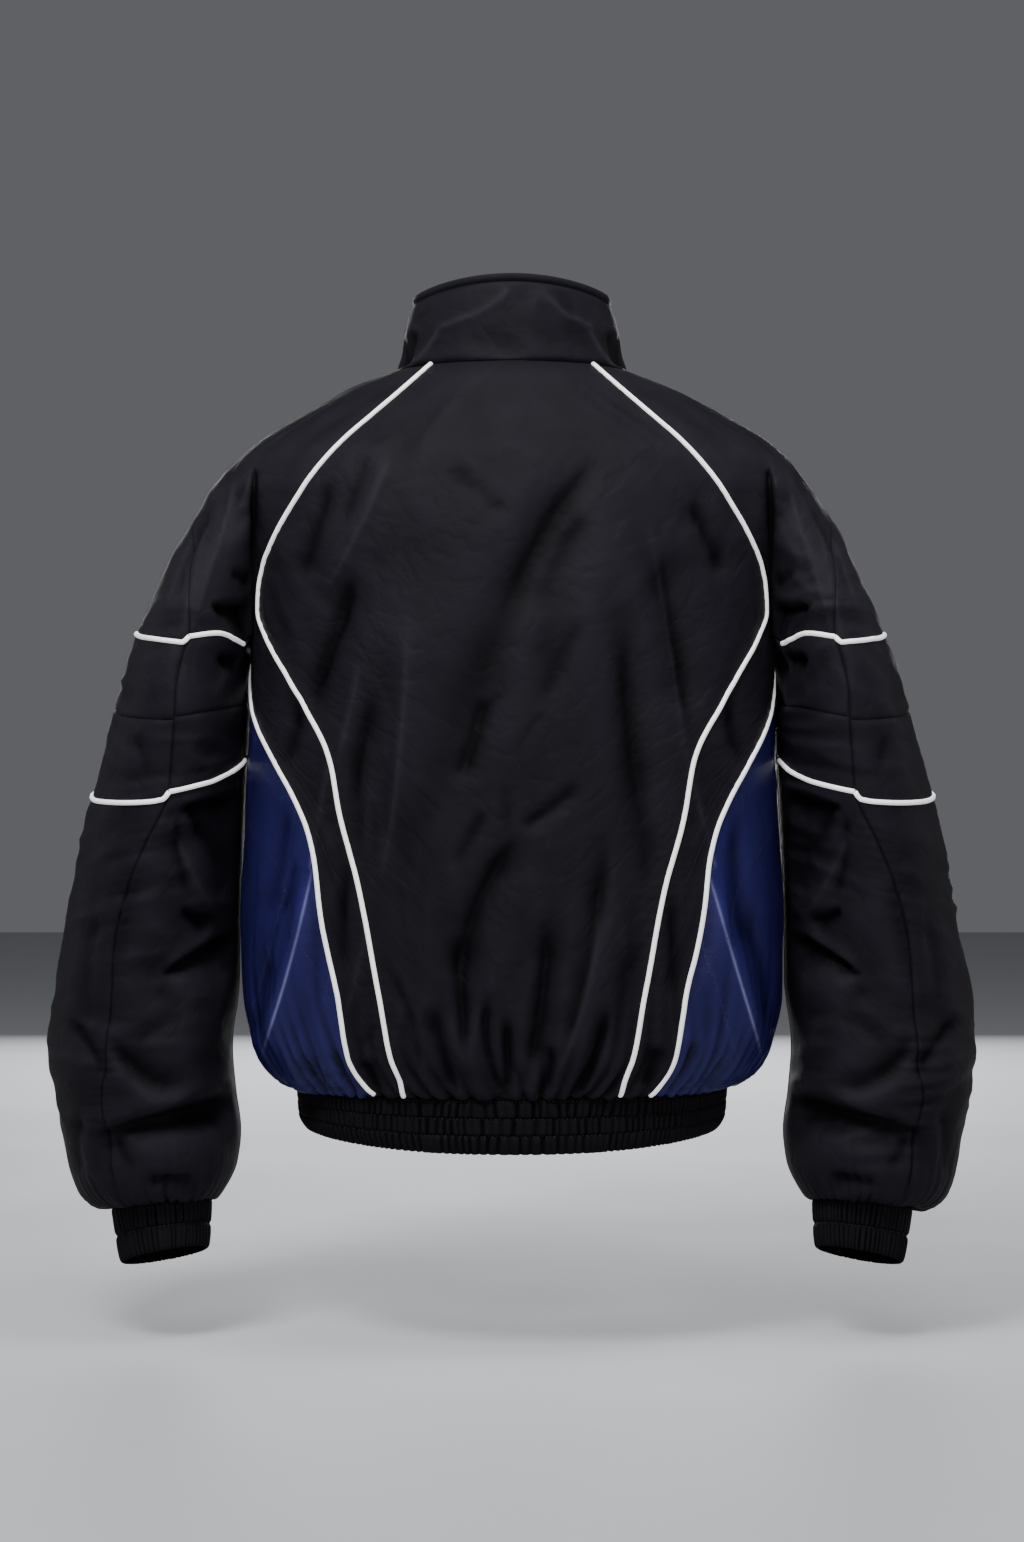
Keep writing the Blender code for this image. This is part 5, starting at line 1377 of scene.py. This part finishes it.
HEM_RING = {"width": 0.1752, "back": 0.1348, "front": 0.1368, "roundness": 2.3}
HEM_TOP = {"side": -0.5831, "back": -0.5832, "front": -0.5762}
HEM_TAPER = 0.012  # how much narrower the ring is at its lower edge
HEM_ROUND = 0.026  # and how much more as it turns under
HEM_FALL = {"side": 0.0316, "back": 0.0408, "front": 0.0390}
HEM_CHANNELS = 3
CUFF_CHANNELS = 2
CUFF = table(
    "down x y z half_x half_y =lean =tip",
    (0, 287, -2.5, -680.3, 40.3, 45.3, -0.1, -0.18),
    (11, 285.8, -5.5, -691.5, 39.2, 43, -0.13, -0.2),
    (21, 284.9, -8, -702, 38, 41.2, -0.15, -0.22),
    (31, 284, -10.5, -711.5, 37, 40, -0.17, -0.24),
    (42, 283, -13.5, -722, 35, 38, -0.19, -0.26),
)
CUFF_LENGTH = CUFF["down"][-1]
RIB = 0.0053  # between two gathers of the hem band
RIB_RISE = 0.0030
CHANNEL_ROWS = (0, 0.05, 0.12, 0.22, 0.40, 0.60, 0.78, 0.88, 0.95)
HEM_COLUMNS = 1500
HEM_LAYERS = 0.0026  # between the outer face of the band and its inner one
HEM_FOLD = 0.10  # of a share, over which the hem turns in
HEM_RADIUS = 0.156
CUFF_RIBS = 60


def hem_at(share, turn):
    """Points of the hem band's plain ring; share is 0 at its seam and 1 at the hem."""
    heights = [HEM_TOP[end] - HEM_FALL[end] * share for end in ("side", "back", "front")]
    tuck = 1 - HEM_TAPER * share - HEM_ROUND * np.clip((share - 0.65) / 0.35, 0, 1) ** 2
    shape = (HEM_RING["width"] * tuck, HEM_RING["back"] * tuck, HEM_RING["front"] * tuck)
    return rounded_ring(turn, *shape, HEM_RING["roundness"], *heights)


def cuff_at(down, station):
    angle = station * math.pi / 2
    x = between(CUFF, "half_x", down) * -np.cos(angle)
    y = between(CUFF, "half_y", down) * -np.sin(angle)
    z = between(CUFF, "lean", down) * x + between(CUFF, "tip", down) * y
    centre = [between(CUFF, axis, down) for axis in "xyz"]
    return points(x + centre[0], y + centre[1], z + centre[2])


def gathered(share, ribs, channels, seed):
    """The height of an elastic band: narrow slits between flat puffs, each channel its own,
    and a stitched line between two channels. ribs counts the puffs round the band."""
    share = np.clip(share, 0, 1) * channels
    channel = np.minimum(np.floor(share + 1e-9), channels - 1).astype(int)
    within = share - channel
    drift = 0.45 * wandering(ribs / 5.1, channel * 0.9, seed)
    drift = drift + 0.35 * wandering(ribs / 1.9, channel * 3.7, seed + 1)
    slant = 0.30 * (within - 0.5) * wandering(ribs / 3.3, channel * 2.3, seed + 2)
    ribs = ribs + drift + slant
    which = np.floor(ribs + 0.5)
    own = np.random.default_rng(seed + 3).uniform(0, 1, (2, 512, channels))
    deep, long = own[:, which.astype(int) % 512, channel]
    slit = np.exp(-((np.abs(ribs - which) / (0.13 + 0.07 * long)) ** 1.6))
    slit = slit * np.clip(1.35 * deep + 0.15, 0, 1)
    below_line = ease((within - 0.06 + 0.10 * (long - 0.5)) / 0.12)
    sewn = np.where(channel == channels - 1, 1.0, 1 - within)
    puff = ease(np.minimum(within, sewn) / 0.16) ** 0.6
    return RIB_RISE * (0.32 - slit * (0.55 + 0.45 * below_line) - 0.60 * (1 - puff))


def channel_rows(channels):
    """The shares of a band's depth at which its mesh has rows, channel by channel."""
    return [(channel + np.array(CHANNEL_ROWS)) / channels for channel in range(channels)]


def hem_parts(share, turn):
    """The hem band's plain points, its outward directions and the height of its gathers; turn
    is negative on the left."""
    side, turn_out = np.where(turn < 0, -1, 1), np.abs(turn)
    normal = mirrored(outward(hem_at, share, turn_out, (-0.1, 1.1), du=0.01), side)
    ribs = np.radians(turn) * HEM_RADIUS / RIB + 200
    return mirrored(hem_at(share, turn_out), side), normal, gathered(share, ribs, HEM_CHANNELS, 91)


def cuff_parts(down, t, side):
    """The same of a cuff, at shares t of the way round it."""
    normal = mirrored(outward(cuff_at, down, 4 * t, (0, CUFF_LENGTH), 0.001, STATION_STEP), side)
    height = gathered(down / CUFF_LENGTH, CUFF_RIBS * t, CUFF_CHANNELS, 101 + side)
    return mirrored(cuff_at(down, 4 * t), side), normal, height


def sew_hem_band():
    """The band is folded double: its gathered outer face, the fold, and its inner face."""
    start = float(turn_of(HEM_SEAM, ZIP_GAP))

    def place(way, t):
        turn = -(180 - start) + (360 - 2 * start) * t + 0 * way
        way = way + 0 * t
        share = np.where(way < 1, way, np.clip(2 + HEM_FOLD - way, 0, 1))
        flat, normal, height = hem_parts(share, turn)
        height = height * ease((180 - start - np.abs(turn)) * METRES_A_DEGREE / 0.004)
        fold = np.clip((way - 1) / HEM_FOLD, 0, 1) * math.pi
        inwards = (1 - np.cos(fold)) / 2
        height = height * (1 - inwards) - HEM_LAYERS * inwards
        point = flat + normal * height[..., None]
        point[..., 2] -= np.sin(fold) * HEM_LAYERS / 2
        direction = normal * np.cos(fold)[..., None]
        direction[..., 2] -= np.sin(fold)
        return point, direction

    turned_in = (1 + HEM_FOLD * np.linspace(0, 1, 6), 1 + HEM_FOLD + places(0.15, 0.95, 0.2))
    rows = np.concatenate(((-0.06,), *channel_rows(HEM_CHANNELS), *turned_in))
    point, normal = laid(place, rows, HEM_COLUMNS)
    band = sheet_from("hem_band_cloth", point, normal, KNIT)
    declare(point)
    place_for(band, "hem_band")


def sew_cuff(name, side):
    def place(down, t):
        t, down = t + 0 * down, down + 0 * t
        flat, normal, height = cuff_parts(down, t, side)
        height = height * ease(np.minimum(t, 1 - t) * CUFF_RIBS)
        rim = np.clip((down / CUFF_LENGTH - 0.90) / 0.10, 0, 1)
        height = height - 0.0022 * (1 - np.sqrt(1 - 0.96 * rim**2))
        return flat + normal * height[..., None], normal

    rows = CUFF_LENGTH * np.concatenate((*channel_rows(CUFF_CHANNELS), (0.98, 1.0)))
    point, normal = laid(place, rows, 9 * CUFF_RIBS)
    cuff = sheet_from(f"cuff_{name}_cloth", point, normal, KNIT, closed=True)
    thicken(cuff, CLOTH)
    declare(point)
    place_for(cuff, f"cuff_{name}")


# ---------------------------------------------------------------- piping


def sew_piping(name, centre, normal):
    """A covered cord over a seam, half round above the cloth and flat below."""
    tangent = unit(np.gradient(centre, axis=0))
    across = unit(np.cross(tangent, normal))
    upright = unit(np.cross(across, tangent))
    angle = np.linspace(0, 2 * math.pi, 15)
    out, up = np.cos(angle)[:, None], np.sin(angle)[:, None]
    tall = np.where(up > 0, PIPING_RISE, PIPING_SUNK) * signed_power(up, 0.8)
    point = centre[:, None] + across[:, None] * (out * PIPING_WIDTH / 2) + upright[:, None] * tall
    around = across[:, None] * out + upright[:, None] * up
    piece = sheet_from(f"{name}_cord", point, around, WHITE, closed=True)
    reshape(piece.data, lambda shape: bmesh.ops.holes_fill(shape, edges=shape.edges, sides=20))
    place_for(piece, name)


PIPING_JOG = 0.030  # of a station, over which a sleeve's piping drops at the back seam


def sew_pipings(name, side):
    along = places(0.0010, PIPING_END, 0.0026)
    sew_piping(f"raglan_piping_{name}", *body(along, raglan_turn(along), side))
    along = places(ARMPIT + 0.012, PIPING_END, 0.0026)
    sew_piping(f"side_piping_{name}", *body(along, side_turn(along), side))
    for which, seam, start, end in (("upper", "upper", 0.46, 3.5), ("lower", "second", 0.14, 3.75)):
        depth = ARM_SEAMS[seam]
        middle = float(back_seam(depth))
        for half, ends in (("inner", (start, middle)), ("outer", (middle, end))):
            station = places(*ends, 0.018)
            jog = ease(np.abs(station - middle) / PIPING_JOG) if half == "outer" else 1.0
            fall = shift(seam, half, station) * jog + shift(seam, "inner", station) * (1 - jog)
            line = arm(depth + fall, station, side)
            sew_piping(f"sleeve_piping_{which}_{half}_{name}", *line)


# ---------------------------------------------------------------- stitching

STITCH = 0.0034  # from one stitch to the next
STITCH_SIZE = (0.0025, 0.0006, 0.0004)  # length, width, height
STITCH_PROUD = 0.0002  # of the gathers that it crosses
FEW = 40  # small shapes that are made at a time


def many(name, matrices, make):
    """One mesh of many small shapes; make adds a few of them, at their matrices, to a bmesh."""

    def gather(whole):
        for start in range(0, len(matrices), FEW):
            few = matrices[start : start + FEW]
            part = reshape(bpy.data.meshes.new("few"), lambda shape: make(shape, few))
            whole.from_mesh(part)
            bpy.data.meshes.remove(part)

    return reshape(bpy.data.meshes.new(name), gather)


def placed(centre, axes, size):
    """The matrix that puts a unit shape at a centre, along three axes and at a size."""
    turned = Matrix([[axis[row] * length for axis, length in zip(axes, size)] for row in range(3)])
    return Matrix.Translation(centre) @ turned.to_4x4()


def resampled(point, normal, pitch, start):
    """Places along a line, its direction there and the surface's."""
    way = np.concatenate(((0,), np.cumsum(np.linalg.norm(np.diff(point, axis=0), axis=1))))
    goals = np.arange(start, way[-1] - pitch / 2, pitch)
    centre, upright = (
        np.stack([np.interp(goals, way, values[:, axis]) for axis in range(3)], axis=-1)
        for values in (point, normal)
    )
    return centre, unit(np.gradient(centre, axis=0)), unit(upright)


def sew_stitches(name, lines):
    """A row of stitches on each line, which is the points and directions of a surface."""
    matrices = []
    for point, normal in lines:
        centre, run, upright = resampled(point, normal, STITCH, STITCH)
        across = unit(np.cross(upright, run))
        rows = zip(centre, zip(run, across, unit(np.cross(run, across))))
        matrices += [placed(place, axes, STITCH_SIZE) for place, axes in rows]

    def make(shape, few):
        for matrix in few:
            bmesh.ops.create_uvsphere(shape, u_segments=4, v_segments=3, radius=0.5, matrix=matrix)

    mesh = many(name, matrices, make)
    mesh.shade_smooth()
    add(name, mesh, THREAD)


POCKET_LINE = np.array(((0.2137, -0.3665), (0.1880, -0.4015), (0.1604, -0.4662), (0.1399, -0.5080)))


def pocket_line(side):
    """The stitched seam that crosses a side panel, from the sleeve to the back piping."""
    x = np.interp(np.linspace(0, 3, 70), range(4), POCKET_LINE[:, 0])
    along = -np.interp(np.linspace(0, 3, 70), range(4), POCKET_LINE[:, 1])
    return body(along, turn_of(along, x), side)


def zip_stitch_line(side):
    """Beside the front edge, from the neck to the hem."""
    along = places(0.008, 0.596, 0.002)
    return body(along, zip_turn(along, ZIP_GAP + 0.0035), side)


def hem_line(share):
    """Between two channels of the hem band, and along its seam."""
    start = float(turn_of(HEM_SEAM, ZIP_GAP)) + 1
    turn = np.linspace(-(180 - start), 180 - start, 700)
    flat, normal, sunk = hem_parts(np.full(turn.shape, share + 0.004), turn)
    return flat + normal * (sunk + STITCH_PROUD)[:, None], normal


def cuff_line(side):
    """Between the two channels of a cuff."""
    t = np.linspace(0.01, 0.99, 300)
    flat, normal, sunk = cuff_parts(np.full(t.shape, CUFF_LENGTH / CUFF_CHANNELS * 1.01), t, side)
    return flat + normal * (sunk + STITCH_PROUD)[:, None], normal


# ---------------------------------------------------------------- zip

ZIP_TOP = 0.0645  # how far up the collar it reaches
ZIP_FOOT = 0.97  # of the hem band's depth
TAPE_COLUMNS = np.array((0.0012, 0.0040, 0.0075, 0.0105, 0.0135))  # from the middle
TAPE_BEHIND = 0.0026  # behind the face of the cloth
TOOTH_PITCH = 0.0020
TOOTH = (0.0036, 0.0008, 0.0021)  # across, down and through the chain
TOOTH_REACH = 0.0012  # from the middle of the chain to the middle of a tooth
TOOTH_PROUD = 0.0002
TOOTH_EDGE = 0.00018  # how wide its bevels are


def down_the_zip(x, side):
    """Points and directions x from the middle, from the collar's top to the foot of the hem."""
    up = places(ZIP_TOP, 0.002, 0.003)
    along = places(0.004, 0.597, 0.003)
    share = places(0.02, ZIP_FOOT, 0.07)
    turn = 180 - np.degrees(np.arcsin(x / between(COLLAR, "width", up)))
    parts = [collar(up, turn, side), body(along, zip_turn(along, x), side)]
    flank = 180 - float(turn_of(HEM_SEAM, x))
    foot = mirrored(hem_at(share, flank), side)
    parts.append((foot, mirrored(outward(hem_at, share, flank, (0, 1), du=0.01), side)))
    return tuple(np.concatenate([part[k] for part in parts]) for k in (0, 1))


def sew_zip_tape(name, side):
    strips = [down_the_zip(x, side) for x in TAPE_COLUMNS]
    point, normal = (np.stack([strip[k] for strip in strips], axis=1) for k in (0, 1))
    point = point - normal * TAPE_BEHIND
    piece = sheet_from(f"zip_tape_{name}_cloth", point, normal, TAPE)
    thicken(piece, CLOTH)
    declare(point)
    place_for(piece, f"zip_tape_{name}")


def make_zip_teeth():
    """Two rows of teeth that close into each other down the middle."""
    point, normal = (
        (left + right) / 2 for left, right in zip(down_the_zip(0.0001, -1), down_the_zip(0.0001, 1))
    )
    matrices = []
    across = np.array((1.0, 0, 0))
    for side in (-1, 1):
        first = TOOTH_PITCH * (1.5 if side > 0 else 1)
        for place, down, out in zip(*resampled(point, normal, TOOTH_PITCH, first)):
            level = unit(np.cross(across, down))
            level = level if level @ out > 0 else -level
            place = place + across * side * TOOTH_REACH + level * (TOOTH_PROUD - TOOTH[2] / 2)
            matrices.append(placed(place, (across, down, level), TOOTH))

    def make(shape, few):
        for matrix in few:
            bmesh.ops.create_cube(shape, size=1, matrix=matrix)
        bmesh.ops.recalc_face_normals(shape, faces=shape.faces)
        rounding = {"offset": TOOTH_EDGE, "segments": 1, "profile": 0.5, "material": -1}
        bmesh.ops.bevel(shape, geom=shape.edges, affect="EDGES", **rounding)

    mesh = many("zip_teeth", matrices, make)
    place_for(add("zip_teeth", mesh, PLASTIC), "zip_chain")


# ---------------------------------------------------------------- all of it

sew_back()
sew_collar()
sew_hem_band()
for side_name, side_sign in SIDES.items():
    sew_side_strip(side_name, side_sign)
    sew_side_panel(side_name, side_sign)
    sew_front(side_name, side_sign)
    sew_cap_back(side_name, side_sign)
    sew_cap_front(side_name, side_sign)
    sew_sleeve(side_name, side_sign)
    sew_cuff(side_name, side_sign)
    sew_pipings(side_name, side_sign)
    sew_zip_tape(side_name, side_sign)
    for kind, line in (("pocket", pocket_line), ("zip", zip_stitch_line), ("cuff", cuff_line)):
        sew_stitches(f"{kind}_stitches_{side_name}", [line(side_sign)])
make_zip_teeth()
sew_stitches("hem_stitches", [hem_line(channel / HEM_CHANNELS) for channel in range(HEM_CHANNELS)])

for node in ("zip_slider", "zip_pull_tab"):
    bpy.data.objects[node].material_slots[0].material = METAL

# ---------------------------------------------------------------- studio

FLOOR = -0.79
CAMERA = (0, -2.4, -0.327)
LENS = 68.33


LIT = (0, 0, -0.32)  # what every light points at
LIGHTS = {  # place, size and watts
    "key": ((-0.7, -1.7, 1.7), (0.8, 0.7), 78),
    "fill": ((0.6, -2.3, 0.1), (1.2, 1.4), 22),
    "rim_left": ((-1.7, 0.5, 0.1), (0.5, 1.8), 6),
    "rim_right": ((1.7, 0.5, 0.1), (0.5, 1.8), 6),
    "top": ((0.25, -0.6, 1.3), (1.4, 0.6), 25),
    "front": ((0, 2.6, 0.1), (2.0, 1.2), 64),
}


def set_studio():
    camera = bpy.data.cameras.new("camera")
    camera.lens = LENS
    view = in_scene("camera", camera)
    view.location, view.rotation_euler = CAMERA, (math.pi / 2, 0, 0)
    bpy.context.scene.camera = view
    cell = {"x_segments": 1, "y_segments": 1, "size": 6, "matrix": Matrix.Translation((0, 0, FLOOR))}
    mesh = bpy.data.meshes.new("floor")
    reshape(mesh, lambda shape: bmesh.ops.create_grid(shape, **cell))
    in_scene("floor", mesh, plain("floor", (0.36, 0.37, 0.39), 0.7, 40.0, 0.0002))
    world = bpy.data.worlds.new("studio")
    world.use_nodes = True
    backdrop = world.node_tree.nodes["Background"].inputs
    backdrop["Color"].default_value = (0.40, 0.41, 0.44, 1)
    backdrop["Strength"].default_value = 0.30
    bpy.context.scene.world = world
    for name, (place, size, watts) in LIGHTS.items():
        data = bpy.data.lights.new(name, "AREA")
        data.shape, data.size, data.size_y, data.energy = "RECTANGLE", *size, watts
        lamp = in_scene(name, data)
        lamp.location = place
        lamp.rotation_euler = (Vector(LIT) - Vector(place)).to_track_quat("-Z", "Y").to_euler()


set_studio()
bpy.context.view_layer.update()
